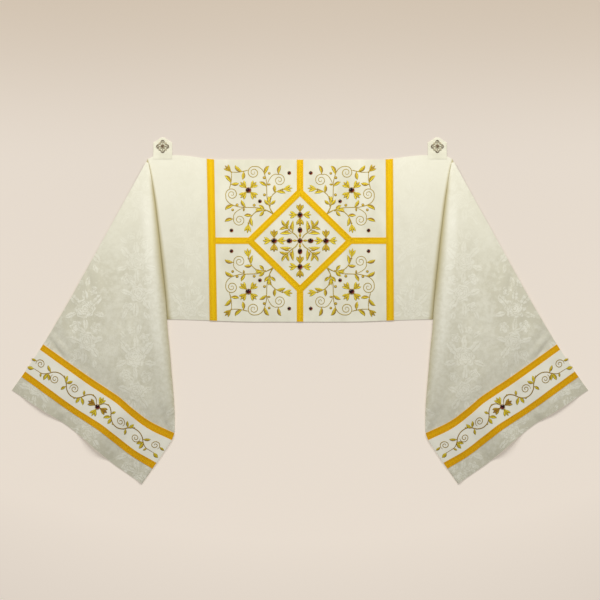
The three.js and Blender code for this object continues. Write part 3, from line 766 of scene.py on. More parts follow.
def stone_look():
    look = Look("garnet_glass", roughness=0.12, specular=0.4)
    # Painted glint: red light towards the lower right of each stone
    painted_glint = look.thread()[0] + (look.noise(160, 2) - 0.5) * 0.5
    look.colour(look.mix(painted_glint, (0.006, 0.001, 0.002), (0.62, 0.03, 0.035)))
    return look.material


def metal_look():
    look = Look("clasp_pewter", roughness=0.5, metallic=0.2, specular=0.3)
    worn = look.noise(300, 4).over(0.3, 2.2)
    # Red is each wire's own tone, and on the dome and plate a painted highlight towards the lower right
    tone = worn * 0.16 + look.thread()[0] * 0.9
    look.colour(look.mix(tone, (0.10, 0.045, 0.02), (0.70, 0.65, 0.45)))
    look.relief(worn, 0.15)
    return look.material


def rim_look():
    look = Look("gold_rim", roughness=0.4, metallic=0.4, specular=0.5)
    grain = look.noise(700, 3)
    look.colour(look.mix(grain, (0.30, 0.13, 0.02), (0.72, 0.40, 0.07)))
    look.relief(grain, 0.1)
    return look.material


STONE = stone_look()
METAL = metal_look()
RIM = rim_look()

# Cloth
ends, end_uv, end_painted_light = end_sections(rows=168, columns=118)
half_wall = normals_of(ends) * CLOTH / 2
end_left = shell("damask_end_left", ends + half_wall, ends - half_wall, DAMASK_END, end_uv, end_painted_light)
dress_both(
    end_left, "damask_ivory", "veil_end_{}", "pleat_{}", flat=(0.55, 0.908), area=0.345, held="folded"
)


def middle_relief(x, y):
    """Faint rises of the middle stretch between the side braids and the folds."""
    out = np.abs(x)
    rise = 1.6 * bump((out - 350 + 0.22 * (y - 110)) / 26) * bump((y - 110) / 95)
    rise = rise + 1.1 * bump((out - 400 - 0.1 * y) / 34) * bump((y + 60) / 190)
    rise = rise + 0.8 * bump((out - 366) / 30) * bump((y + 190) / 80)
    return rise * smooth(out, 318, 332) * (1 - smooth(out, 430, 450))


# By height on the middle: how far out each end's fold lies, and how wide the painted shadow beside it is
FOLD_ON_MIDDLE = Curve(
    (-267, 447), (-252, 451.5), (-201, 456.6), (-133, 463), (-65, 470), (2, 477), (70, 485),
    (138, 492.5), (240, 509), (275, 517),
)
FOLD_SHADE = ([-267, -65, 100, 230, 275], [20, 18, 12, 7, 3])
MIDDLE_ROWS, MIDDLE_COLUMNS = 112, 420
foot = HALF_SPAN + DROP / math.tan(PLEAT_SLOPE)
share = np.linspace(0, 1, MIDDLE_ROWS)[::-1, None]
x = np.linspace(-1, 1, MIDDLE_COLUMNS) * (foot + (HALF_SPAN - foot) * share)
y = height_at(x, share)
# Painted shadow: the middle is darkened beside each end's fold, over the shade's width
painted_crevice_shade = 0.85 * (1 - smooth(FOLD_ON_MIDDLE(y) - np.abs(x), -1, np.interp(y, *FOLD_SHADE)))
under = np.stack([x, y, middle_relief(x, y)], axis=-1)
middle = shell("damask_middle", under + (0, 0, CLOTH), under, DAMASK_MIDDLE, under[..., :2], painted_crevice_shade)
dress(middle, "damask_ivory", "veil_middle", flat=(0.55, 1.53), area=0.706)


def pleat_piece():
    """The hidden layers as one soft-edged slab."""
    centre = PLEAT.mean(axis=0)
    outline = []
    for a, b in zip(PLEAT, np.roll(PLEAT, -1, axis=0)):
        steps = max(2, int(np.hypot(*(b - a)) / 12))
        outline += [a + (b - a) * k / steps for k in range(steps)]
    outline = np.array(outline)
    inward = centre - outline
    inward /= np.linalg.norm(inward, axis=1, keepdims=True)
    half = (PLEAT_TOP - PLEAT_BOTTOM) / 2
    turns = np.radians(np.linspace(-90, 90, 9))
    rows, columns = len(turns), len(outline)
    points = [
        (*point, PLEAT_BOTTOM + half + half * math.sin(turn))
        for turn in turns for point in outline + inward * half * (1 - math.cos(turn))
    ]
    points = np.array(points + [(*centre, PLEAT_BOTTOM), (*centre, PLEAT_TOP)])
    faces = list(grid_faces(rows, columns, turned=True, ring=True))
    hub = rows * columns
    for j in range(columns):
        k = (j + 1) % columns
        faces += [(hub, k, j), (hub + 1, hub - columns + j, hub - columns + k)]
    return make("damask_pleat_left", points, faces, DAMASK_END, points[:, :2])


dress_both(
    pleat_piece(), "damask_ivory", "pleat_{}", "veil_middle", flat=(0.31, 0.75), area=0.101,
    held="folded",
)


# Braid, panel and borders
def side_line(side, y):
    neck, lower = {"left": (-304, -294), "right": (303, 306)}[side]
    return lower + (neck - lower) * (y + VEIL_WIDTH / 2) / VEIL_WIDTH


def braid_profile(width, cord=1.7):
    """Offsets across a braid and the height at each: a cord along each edge and soft ribs."""
    half = width / 2
    edge = 0.02 + cord * (1 - np.cos(np.radians([30, 60, 90, 130, 180]))) / 2
    edge = np.concatenate([[0], edge])
    offsets = np.concatenate([edge - half, np.linspace(2.0 - half, half - 2.0, 13), half - edge[::-1]])
    away = np.abs(offsets)
    cords = 0.35 * np.sqrt(np.clip(1 - ((away - half) * 2 / cord + 1) ** 2, 0, 1))
    ribs = 0.1 * np.cos(away * 2 * math.pi / (half / 3)) + 0.1
    return offsets, BRAID - 0.35 + np.where(away > half - 1.8, cords, ribs)


def strip(name, line, offsets, heights, base, material):
    """A closed strip: line(offset) gives the points of one lengthwise run, in plan."""
    runs = np.stack([line(o) for o in offsets])
    inner = np.concatenate([runs, np.full((*runs.shape[:2], 1), base)], axis=2)
    outer = inner + heights[:, None, None] * (0, 0, 1)
    along = lengths(runs[len(runs) // 2])
    uv = np.stack(np.broadcast_arrays(along, offsets[:, None]), axis=-1)
    return shell(name, outer, inner, material, uv)


def between_points(a, b, n):
    share = np.linspace(0, 1, n)[:, None]
    return np.asarray(a, float) * (1 - share) + np.asarray(b, float) * share


def side_braid_line(side, o):
    share = np.linspace(0, 1, 90)[::-1]
    x = side_line(side, (share - 0.5) * VEIL_WIDTH) + o
    return np.column_stack([x, height_at(x, share)])


offsets, heights = braid_profile(SIDE_BRAID_WIDTH)
for side in SIDES:
    braid = strip(
        "braid_side_trim_" + side, lambda o: side_braid_line(side, o), offsets, heights + PANEL,
        ON_MIDDLE, SIDE_GOLD,
    )
    dress(braid, "braid_gold", "braid_side_" + side, flat=(0.025, 0.555), under="veil_middle")

# The satin square
PANEL_ROWS, PANEL_COLUMNS = 70, 72
BESIDE_BRAID = SIDE_BRAID_WIDTH / 2 + GAP
share = np.linspace(0, 1, PANEL_ROWS)[::-1, None]
y = (share - 0.5) * VEIL_WIDTH
low, high = side_line("left", y) + BESIDE_BRAID, side_line("right", y) - BESIDE_BRAID
x = low + (high - low) * np.linspace(0, 1, PANEL_COLUMNS)
under = np.stack([x, height_at(x, share), np.full(x.shape, ON_MIDDLE)], axis=-1)
panel = shell("satin_square", under + (0, 0, PANEL), under, SATIN, under[..., :2])
dress(panel, "orphrey_ivory", "orphrey_panel", flat=(0.55, 0.575), under="veil_middle")

# The diamond and its four bars
offsets, heights = braid_profile(BRAID_WIDTH + 1)
ON_PANEL = PANEL_TOP + 0.1
SIDE_POINTS = 60
w, h = DIAMOND
side_length = math.hypot(w, h)


def diamond_corner(k, grown):
    reach_x, reach_y = w + grown * side_length / h, h + grown * side_length / w
    return [(reach_x, 0), (0, reach_y), (-reach_x, 0), (0, -reach_y)][k % 4]


def diamond_line(o):
    corners = [diamond_corner(k, o) for k in range(5)]
    sides = [between_points(a, b, SIDE_POINTS)[:-1] for a, b in zip(corners, corners[1:])]
    return np.concatenate([*sides, corners[4:]])


def closed_ring(name, line, offsets, heights, base, material):
    """A strip whose ends meet."""
    around = np.concatenate([offsets, offsets[[-1, 0]]])
    runs = np.stack([line(o)[:-1] for o in around])
    rows, columns = runs.shape[:2]
    level = np.broadcast_to(base + np.append(heights, [0, 0])[:, None, None], (rows, columns, 1))
    along = np.arange(columns) * side_length / (SIDE_POINTS - 1)
    uv = np.stack(np.broadcast_arrays(along, around[:, None]), axis=-1)
    faces = grid_faces(rows, columns, ring=True, loop=True)
    return make(name, np.concatenate([runs, level], axis=2), faces, material, uv)


diamond = closed_ring("braid_diamond_trim", diamond_line, offsets[::-1], heights, ON_PANEL, PANEL_GOLD)
dress(diamond, "braid_gold", "braid_diamond", flat=(0.021, 0.95), under="orphrey_panel")

half_braid = BRAID_WIDTH / 2
point_x = diamond_corner(0, half_braid + GAP)[0]
point_y = diamond_corner(1, half_braid + GAP)[1]
bars = {
    "left": lambda o: ((side_line("left", o) + BESIDE_BRAID, o), (-point_x + abs(o) * w / h, o)),
    "right": lambda o: ((point_x - abs(o) * w / h, o), (side_line("right", o) - BESIDE_BRAID, o)),
    "top": lambda o: ((-o, point_y - abs(o) * h / w), (-o, float(neck_edge(0)))),
    "bottom": lambda o: ((-o, float(lower_edge(0))), (-o, -point_y + abs(o) * h / w)),
}
for name, tips in bars.items():
    braid = strip(
        "braid_bar_trim_" + name, lambda o: between_points(*tips(o), 24), offsets[::-1], heights,
        ON_PANEL, PANEL_GOLD,
    )
    dress(braid, "braid_gold", "braid_bar_" + name, flat=(0.021, 0.105), under="orphrey_panel")

# The borders of the ends follow the cloth
ON_CLOTH = CLOTH / 2 + GAP / 2


def end_strip(name, downs, heights, material, columns=150):
    down = downs[:, None]
    at = 0.4 + np.linspace(0, 1, columns) * (end_frame(down)[0] - 0.2)
    down, height = np.broadcast_arrays(down, at)[0], np.broadcast_to(heights[:, None], at.shape)
    outer, inner = over_end(down, at, ON_CLOTH + height), over_end(down, at, ON_CLOTH + 0 * at)
    uv = np.stack([at, down - (downs[0] + downs[-1]) / 2], axis=-1)
    return shell(name, outer, inner, material, uv)


for name, middle_of in (("upper", UPPER_BRAID), ("lower", LOWER_BRAID)):
    braid = end_strip(f"braid_end_trim_{name}_left", middle_of + offsets, heights, END_GOLD)
    dress_both(braid, "braid_gold", f"braid_end_{name}_{{}}", "veil_end_{}", flat=(0.021, 0.543))
border_downs = np.linspace(UPPER_BRAID + half_braid + GAP, LOWER_BRAID - half_braid - GAP, 24)
border = end_strip("satin_border_left", border_downs, np.full(24, PANEL), BORDER_SATIN)
dress_both(border, "orphrey_ivory", "border_end_{}", "veil_end_{}", flat=(0.092, 0.543))

# Needlework and jewels
ON_ORPHREY = PANEL_TOP + 0.05
ON_BORDER = ON_CLOTH + PANEL + 0.05
STRIP_MIDDLE = (UPPER_BRAID + LOWER_BRAID) / 2


def on_panel(points):
    return points + (0, 0, ON_ORPHREY)


def on_border(points):
    """From the strip's own middle: x runs along it, y towards its upper braid."""
    return over_end(STRIP_MIDDLE - points[:, 1], END_WIDTH / 2 + points[:, 0], ON_BORDER + points[:, 2])


class Work:
    """Many small closed pieces of thread, glass or metal joined in one mesh."""

    def __init__(self):
        self.points, self.faces, self.uv, self.tone, self.count = [], [], [], [], 0

    def add(self, points, faces, tone, uv=None):
        """A closed piece with a tone, or several, for each point, and its plan where no UV is given."""
        points = np.asarray(points, float)
        self.points.append(points)
        self.faces += [[self.count + i for i in face] for face in faces]
        self.uv.append(points[:, :2] if uv is None else uv)
        self.tone.append(np.broadcast_to(tone, (len(points), np.shape(tone)[-1])))
        self.count += len(points)

    def join(self, other, change=lambda plan: plan, flips=False):
        """Adds another work, or this one again, through a change of place that may mirror it."""
        for points, uv, tone in list(zip(other.points, other.uv, other.tone)):
            self.points.append(np.column_stack([change(points[:, :2]), points[:, 2]]))
            self.uv.append(uv)
            self.tone.append(tone)
        order = -1 if flips else 1
        self.faces += [[self.count + i for i in face][::order] for face in other.faces]
        self.count += other.count

    def finish(self, name, place, material=THREAD, flat=False):
        """The joined mesh, put where its place says."""
        points, uv, tone = (np.concatenate(part) for part in (self.points, self.uv, self.tone))
        return make(name, place(points), self.faces, material, uv, tone, flat)

    def ribbon(self, centres, directions, halves, offsets, heights, tones):
        """A raised ribbon: a grid over the middle line, closed below and at both ends."""
        across = np.column_stack([-directions[:, 1], directions[:, 0]])
        n, m = len(centres), len(offsets)
        over = halves[:, None] * offsets
        plan = centres[:, None] + across[:, None] * over[..., None]
        points = np.concatenate([plan, heights[..., None]], axis=2).reshape(-1, 3)
        uv = np.stack(np.broadcast_arrays(lengths(centres)[:, None], over), axis=-1)
        faces = [*grid_faces(n, m, ring=True), range(m), reversed(range((n - 1) * m, n * m))]
        self.add(points, faces, tones.reshape(-1, 2), uv.reshape(-1, 2))

    def cord(self, line, width=2.2, rise=1.0, tone=0.25, ends=(0.5, 0.4)):
        """A stem along a line of points."""
        line = np.asarray(line, float)
        direction = np.gradient(line, axis=0)
        direction /= np.linalg.norm(direction, axis=1, keepdims=True)
        share = np.linspace(0, 1, len(line))
        size = np.interp(share, [0, 0.1, 0.8, 1], [ends[0], 1, 0.9, ends[1]])
        offsets = np.array([-1, -0.62, 0, 0.62, 1])
        profile = np.array([0, 0.75, 1, 0.75, 0])
        heights = 0.02 + size[:, None] * profile * rise
        # Darker edges: partly an outline, partly painted shade where the cord rounds down
        tones = np.stack(np.broadcast_arrays([0.8, 0.4, 0.1, 0.4, 0.8], np.full(heights.shape, tone)), -1)
        self.ribbon(line, direction, size * width * 0.72, offsets, heights, tones)

    def leaf(self, base, turn, length, width, bend=0.0, tone=0.6, rise=1.3, fullest=0.52, cleft=0.9):
        """A padded leaf in two halves, the one on the hollow side of its curve brighter as a painted
        sheen; turns in degrees.
        """
        share = np.linspace(0, 1, 12)
        length = length * 1.08
        angle = np.radians(turn + bend * (0.35 * share + share**2.4))
        direction = np.column_stack([np.cos(angle), np.sin(angle)])
        steps = (direction[1:] + direction[:-1]) / 2 * length / 11
        centres = np.concatenate([[[0, 0]], np.cumsum(steps, axis=0)]) + base
        shape = np.sin(math.pi * share ** (math.log(0.5) / math.log(fullest))) ** 0.85
        half = width * 0.6 * np.maximum(shape, [0.2] + [0] * 10 + [0.06])
        line = min(0.3, 1.3 / (width / 2))
        offsets = np.array([-1, -1 + line * 0.8, -0.5, -0.12, 0, 0.12, 0.5, 1 - line * 0.8, 1])
        profile = np.array([0, 0.62, 1, 0.62, 0.42, 0.62, 1, 0.62, 0])
        heights = 0.02 + np.maximum(shape, 0.15)[:, None] ** 0.6 * profile * rise
        # A dark outline at the edges, and painted shade where the padding falls away to the cloth and into
        # the midrib
        outline_and_shade = np.array([0.9, 0.6, 0, 0.1, cleft, 0.1, 0, 0.6, 0.9])
        dark = np.broadcast_to(outline_and_shade, heights.shape).copy()
        dark[-3:, 4] = 0.2
        dark[[0, -1]] = 0.6
        # Painted sheen: the half on the hollow side of the curve is lighter
        paleness_and_sheen = tone + 0.34 * math.copysign(min(abs(bend) / 24, 1), bend) * np.sign(offsets)
        paleness_and_sheen = paleness_and_sheen + 0.12 * (share[:, None] - 0.5)
        self.ribbon(centres, direction, half, offsets, heights, np.stack([dark, paleness_and_sheen], axis=-1))

    def stitches(self, line, level, pitch=4.2, length=3.1, width=0.7):
        """A row of running stitches along a line, at a height over the cloth below."""
        line = np.asarray(line, float)
        measure = lengths(line)
        count = int(measure[-1] // pitch)
        starts = (measure[-1] - count * pitch) / 2 + np.arange(count) * pitch + (pitch - length) / 2
        offsets = np.array([-1, -0.5, 0.5, 1])
        profile = np.array([0, 1, 1, 0])
        for start in starts:
            at = start + length * np.array([0, 0.2, 0.8, 1])
            centres = np.column_stack([np.interp(at, measure, line[:, k]) for k in range(2)])
            direction = np.broadcast_to(centres[-1] - centres[0], centres.shape) / length
            size = np.array([0.35, 1, 1, 0.35])
            heights = level + size[:, None] * profile * 0.35
            tones = np.stack([np.full(heights.shape, 0.1), np.full(heights.shape, 0.5)], axis=-1)
            self.ribbon(centres, direction, size * width / 2, offsets, heights, tones)

    def berry(self, centre, radius, tone=0.5, rise=1.2, sides=12):
        """A small padded dot."""
        turns = np.arange(sides) * 2 * math.pi / sides
        points, tones = [], []
        # Darker towards the foot: partly an outline, partly painted shade on the dome's sides
        for share, height, dark in ((1, 0.02, 1), (0.8, 0.65, 0.5), (0.5, 0.95, 0)):
            for turn in turns:
                reach = radius * share
                x, y = centre[0] + reach * math.cos(turn), centre[1] + reach * math.sin(turn)
                points.append((x, y, height * rise))
                tones.append((dark, tone))
        faces = [range(sides)[::-1], *grid_faces(3, sides, turned=True, ring=True)]
        faces += [(2 * sides + k, 2 * sides + (k + 1) % sides, 3 * sides) for k in range(sides)]
        self.add([*points, (*centre, rise)], faces, [*tones, (0, tone + 0.1)])

    def bud(self, base, turn, size, tone=0.75):
        """A tulip of three petals on a small cup."""
        for side in (-1, 1):
            self.leaf(base, turn + side * 15, size * 0.93, size * 0.22, side * 13, tone, 1.2, 0.66, 0.3)
        self.leaf(base, turn, size * 1.02, size * 0.2, 0, tone - 0.2, 1.6, 0.66, 0.3)
        self.berry(base, size * 0.1, 0.3, 1.5)

    def rings(self, centre, halves, heights, sides, shift=0.0):
        """Points on ellipses about a centre, with every second one turned by part of a side."""
        row, column = np.mgrid[:len(heights), :sides]
        turn = 2 * math.pi * (column + row % 2 * shift) / sides
        x, y = np.cos(turn) * halves[:, :1], np.sin(turn) * halves[:, 1:]
        return np.stack([x, y, 0 * x + heights[:, None]], axis=-1).reshape(-1, 3) + centre

    def lathe(self, centre, sizes, rings, sides, shift=0.0):
        """Rings of (share of the size, height), from the bottom up, closed at both ends."""
        share, height = np.array(rings).T
        halves = share[:, None] * np.array(sizes) / 2
        points = self.rings(centre, halves, height, sides, shift)
        faces = [range(sides)[::-1], *grid_faces(len(rings), sides, turned=True, ring=True)]
        faces.append(range(len(points) - sides, len(points)))
        # How far each point lies towards the lower right of its own stone: a painted glint on the stones,
        # a painted highlight on the clasp's dome and plate
        tone = (points - centre)[:, :2] @ (1, -1) / max(sizes) * 2.0 - 0.45
        self.add(points, faces, np.clip(tone, 0, 1)[:, None])

    def rim(self, centre, sizes, tube, sides=28, steps=6):
        """A round wire laid about a stone."""
        turn = 2 * math.pi * np.arange(steps) / steps
        halves = np.array(sizes) / 2 + tube * (1 + np.cos(turn))[:, None]
        points = self.rings(centre, halves, tube * (1 + np.sin(turn)), sides)
        self.add(points, grid_faces(steps, sides, turned=True, ring=True, loop=True), [0])

    def wire(self, line, radius, closed=False, tone=0.0, steps=8):
        """A round wire along points in space, with one tone or one for each point."""
        line = np.asarray(line, float)
        if closed:
            direction = np.roll(line, -1, axis=0) - np.roll(line, 1, axis=0)
        else:
            direction = np.gradient(line, axis=0)
        direction /= np.linalg.norm(direction, axis=1, keepdims=True)
        sideways = np.cross(direction, (0, 0, 1))
        sideways /= np.linalg.norm(sideways, axis=1, keepdims=True)
        upward = np.cross(sideways, direction)
        turns = np.radians(np.arange(steps) * 360 / steps)[:, None]
        around = np.cos(turns) * sideways[:, None] + np.sin(turns) * upward[:, None]
        points = (line[:, None] + radius * around).reshape(-1, 3)
        faces = list(grid_faces(len(line), steps, ring=True, loop=closed))
        if not closed:
            faces += [range(steps), reversed(range(len(points) - steps, len(points)))]
        tone = np.repeat(np.broadcast_to(tone, len(line)), steps)
        self.add(points, faces, tone[:, None])


def spline(*points, step=2.4):
    """A smooth line through points, at even steps."""
    points = np.array(points, float)
    padded = np.concatenate([[2 * points[0] - points[1]], points, [2 * points[-1] - points[-2]]])
    fine = []
    for a, b, c, d in zip(padded, padded[1:], padded[2:], padded[3:]):
        t = np.linspace(0, 1, 24, endpoint=False)[:, None]
        square, cube = 2 * a - 5 * b + 4 * c - d, 3 * b - a - 3 * c + d
        fine.append(0.5 * (2 * b + (c - a) * t + square * t**2 + cube * t**3))
    fine = np.concatenate(fine + [points[-1:]])
    length = lengths(fine)
    even = np.linspace(0, length[-1], max(4, int(length[-1] / step)))
    return np.column_stack([np.interp(even, length, fine[:, k]) for k in range(2)])


def spiral(centre, radius, start, turns, hand, least=2.2):
    """A volute that winds inwards from an angle in degrees."""
    share = np.linspace(0, 1, int(26 * turns))
    angle = math.radians(start) + hand * share * turns * 2 * math.pi
    reach = radius * (1 - share) + least * share
    return np.column_stack([centre[0] + reach * np.cos(angle), centre[1] + reach * np.sin(angle)])


# A corner of the square, from its root on the diamond; its other half is this one's mirror
corner = Work()
stem = spline(
    (0, 0), (11, 22), (19, 52), (20.5, 84), (22, 112), (32, 143), (47, 157), (61.4, 159.7)
)[:-1]
corner.cord(np.concatenate([stem, spiral((65, 139), 21, 100, 1.95, -1)]), 1.9, 1.0, 0.5, (1.8, 0.4))
stem = spline((19, 98), (13, 113), (3, 127), (-8, 133), (-15, 132.3))[:-1]
corner.cord(np.concatenate([stem, spiral((-22, 113), 20.5, 70, 1.85, 1)]), 1.6, 0.9, 0.5)
corner.cord(spline((9, 24), (9, 44), (2, 61), (-13, 74), (-34, 84)), 2.1, 1.0, 0.5, (1.3, 0.5))
corner.cord(spline((84, 147), (100, 143), (118, 140), (141, 140)), 1.9, 1.0, 0.45)
corner.bud((-33, 82), 173, 31, 0.85)
for leaf in (
    ((27, 133), 96, 31, 10.5, 50, 0.6),
    ((-19, 134), 90, 29, 10, 40, 0.5),
    ((21, 92), 44, 27, 9.5, -30, 0.65),
    ((20.5, 97), 170, 13, 5.5, 10, 0.35),
    ((-8, 70), 78, 25, 9.5, 22, 0.5),
    ((-12, 74), 176, 30, 9.5, 34, 0.7),
    ((104, 142), 22, 31, 10.5, 46, 0.65),
    ((99, 142), -92, 26, 10, 20, 0.6),
    ((11, 28), 38, 24, 9.5, 24, 0.8),
    ((9, 30), 150, 22, 9, -24, 0.7),
    ((10, 33), 84, 24, 9, -14, 0.75),
    ((14, 40), 118, 19, 7.5, -20, 0.55),
):
    corner.leaf(*leaf)
for berry in (((29, 121), 5.0, 0.3), ((12, 136), 4.6, 0.3), ((28, 63), 5.0, 0.35)):
    corner.berry(*berry)
corner.join(corner, lambda plan: plan[:, ::-1], True)
corner.bud((140, 140), 45, 29, 0.45)

QUARTERS = [(sx, sy) for sx in (-1, 1) for sy in (-1, 1)]
ROOT = (92.5, 92.5)
scrolls = Work()
for quarter in QUARTERS:
    scrolls.join(corner, lambda plan: (plan + ROOT) * quarter, quarter[0] != quarter[1])

# A spray in each quarter of the diamond, and the links of the cross
spray = Work()
spray.cord(spline((7, 8), (15, 20), (28, 29), (38, 38), (50, 50)), 2.4, 1.2, 0.6)
for leaf in (
    ((47, 47), 45, 26, 8.5, 30, 0.6),
    ((43, 46), 90, 23, 8, 32, 0.6),
    ((46, 43), 0, 23, 8, -32, 0.6),
    ((24, 29), 80, 37, 9.5, 26, 0.6),
    ((29, 24), 10, 37, 9.5, -26, 0.75),
    ((34, 37), 104, 21, 7, 24, 0.45),
    ((37, 34), -14, 21, 7, -24, 0.45),
    ((40, 42), 70, 18, 6, -20, 0.5),
    ((42, 40), 20, 18, 6, 20, 0.5),
):
    spray.leaf(*leaf)
spray.join(spray, lambda plan: plan * (-1, 1), True)
spray.join(spray, lambda plan: plan * (1, -1), True)
scrolls.join(spray)
for turn, (c, s) in zip((0, 90, 180, 270), ((1, 0), (0, 1), (-1, 0), (0, -1))):
    for reach, length in ((8.5, 17), (46, 20)):
        scrolls.leaf((c * reach, s * reach), turn, length, 6.5, 0, 0.55, 1.2)
dress(scrolls.finish("gold_scrolls_square", on_panel), "gold_embroidery")

# Running stitches that hold the braids and the satin
STITCH_INSET = 3.2
square_stitches, end_stitches = Work(), Work()
half_strip = (LOWER_BRAID - UPPER_BRAID) / 2
for side in SIDES:
    for o in (-1, 1):
        square_stitches.stitches(side_braid_line(side, o * (SIDE_BRAID_WIDTH / 2 - STITCH_INSET)), 0.5)
for o in (STITCH_INSET - half_braid, half_braid - STITCH_INSET):
    square_stitches.stitches(diamond_line(o), 0.6)
    for tips in bars.values():
        square_stitches.stitches(between_points(*tips(o), 24), 0.6)
    for y in (o - half_strip, o + half_strip):
        end_stitches.stitches([(-END_WIDTH / 2 + 3, y), (END_WIDTH / 2 - 8, y)], -0.25)
dress(square_stitches.finish("braid_stitches_square", on_panel), "gold_embroidery")
dress_both(end_stitches.finish("braid_stitches_end_left", on_border), "gold_embroidery")

# The scroll of a border, from its flower towards one side
scroll = Work()
scroll.cord(spline(
    (4, 3), (16, 19), (34, 23), (50, 12), (62, -6), (78, -19), (98, -21), (117, -11), (130, 6),
    (146, 17), (168, 18), (186, 9), (198, -5), (214, -18), (236, -21), (252, -22),
), 2.5, 1.0, 0.2)
for x, y, hand in ((96, 5, 1), (169, -8, -1), (238, 5, 1)):
    scroll.cord(spiral((x, y), 16.5, -32 * hand, 1.75, hand, 2), 1.7, 0.9, 0.35)
for base, turn, length, width, bend, tone in (
    ((62, -5), -150, 21, 7.0, 30, 0.7), ((63, -8), -78, 18, 7.0, -20, 0.8),
    ((56, 5), 60, 13, 5.5, 0, 0.45),
    ((129, 5), 140, 17, 6.5, -30, 0.45), ((130, 4), 60, 19, 7.0, 24, 0.85),
    ((124, -5), -60, 16, 6.0, -20, 0.45),
    ((199, -6), -140, 18, 7.0, 20, 0.4), ((200, -8), -84, 19, 7.5, -20, 0.6),
    ((193, 3), 24, 19, 6.5, 20, 0.4),
    ((248, -22), -28, 17, 8.0, 18, 0.6), ((255, 6), -20, 14, 5.5, 20, 0.4),
    ((221, -19), -120, 11, 4.5, 0, 0.4),
):
    scroll.leaf(base, turn, length * 1.28, width * 1.35, bend, tone + 0.2)
for berry in (((79, -21), 3.2, 0.4), ((147, 19), 3.2, 0.4), ((31, 24), 3.0, 0.35)):
    scroll.berry(*berry)
scroll.join(scroll, lambda plan: plan * (-1, 1), True)
scroll = scroll.finish("gold_scroll_left", lambda points: on_border(points + (-4, 1.5, 0)))
dress_both(scroll, "gold_embroidery")


def flower(work, x, y, turn, tones, size=35):
    """Four petals of three lobes about a stone."""
    for k in range(4):
        angle = turn + 90 * k
        c, s = math.cos(math.radians(angle)), math.sin(math.radians(angle))
        base = (x + 6 * c, y + 6 * s)
        tone, width = tones[k % 2]
        for side in (-1, 1):
            work.leaf(base, angle + side * 16, size - 7, width, side * 15, tone, 1.5, 0.7, 0.3)
        work.leaf(base, angle, size - 5, width - 1, 0, tone - 0.2, 1.9, 0.68, 0.3)
    work.berry((x, y), 8.5, 0.3, 1.5)


cross_flowers, corner_flowers, border_flower = Work(), Work(), Work()
for x, y in ((88, 0), (-88, 0), (0, 88), (0, -88)):
    flower(cross_flowers, x, y, 0, ((0.95, 7.2), (0.5, 8.6)))
for sx, sy in QUARTERS:
    flower(corner_flowers, sx * 175, sy * 172, 45, ((0.75, 7.6), (0.75, 7.6)))
flower(border_flower, 0, 0, 0, ((0.2, 8.4), (0.95, 7.4)))
CROSS = ("top", "bottom", *SIDES)
CORNERS = [level + "_" + side for level in ("upper", "lower") for side in SIDES]
for work, kind, places in ((cross_flowers, "cross", CROSS), (corner_flowers, "corner", CORNERS)):
    flowers = work.finish("gold_flowers_" + kind, on_panel)
    dress(flowers, "gold_embroidery", *(f"flower_{kind}_{place}" for place in places))
flowers = border_flower.finish("gold_flower_border_left", on_border)
dress_both(flowers, "gold_embroidery", "flower_border_{}")

# Tabs
TAB_WIDTH, TAB_PEAK, TAB_SHOULDER, TAB_THICKNESS = 65, 350, 333, 2
# How high the tab's underside lies by its height up the page
TAB_REST = Curve((277, 1.9), (291, 1.9), (303, 0.35), (312, 0.05), (324, 0), (333, 0), (341, 0), (347, 0))


def tab_edge(y):
    """Half the tab's width at a height up the page."""
    half = TAB_WIDTH / 2
    slope = np.clip((y - TAB_SHOULDER) / (TAB_PEAK - TAB_SHOULDER), 0, 1)
    return half - (half - 6) * slope**0.9


def tab_height(x, y):
    """The tab's upper face over a place, with x measured from its middle."""
    half = tab_edge(y) - 0.4
    inward = np.minimum(half - np.abs(x), (TAB_PEAK - y) * 0.8 + 0.01)
    padded = TAB_THICKNESS - 1.1 * (1 - smooth(inward, 0, 2.2)) - 0.35 * bump((inward - 4.5) / 1.6)
    return TAB_REST(y) + 0.3 + (padded - 0.3) * smooth(y, 288, 304)


def tab_piece():
    y = np.concatenate([np.linspace(277, 333, 34)[:-1], np.linspace(333, TAB_PEAK, 16)])[::-1, None]
    x = np.linspace(-1, 1, 41) * (tab_edge(y) - 0.4)
    y = y + 0 * x
    top = np.stack([x - TAB_AT, y, tab_height(x, y)], axis=-1)
    low = np.stack([x - TAB_AT, y, TAB_REST(y) + 0.05], axis=-1)
    return shell("satin_tab_left", top, low, SATIN, top[..., :2])


def on_tab_face(points):
    """Points with x measured from the tab's middle and z over its face."""
    x, y, z = points.T
    return np.column_stack([x - TAB_AT, y, tab_height(x, y) + z])


STITCHED_INSET = 4.5
outline = [(tab_edge(y) - STITCHED_INSET, y) for y in np.linspace(298, TAB_PEAK - 5.6, 40)]
outline += [(-x, y) for x, y in reversed(outline)]
tab_stitches = Work()
tab_stitches.stitches(outline, 0, 3.6, 2.6, 0.6)
dress_both(tab_stitches.finish("tab_stitches_left", on_tab_face, IVORY_THREAD), "tab_satin")
dress_both(tab_piece(), "tab_satin", "tab_{}", "veil_middle", flat=(0.065, 0.16), area=0.0048)


# Stones and their settings
def cut(height):
    """A stone's side from the girdle to the table."""
    return [(0.9, 0.0), (1.0, 0.3 * height), (0.86, 0.66 * height), (0.6, 0.94 * height), (0.42, height)]


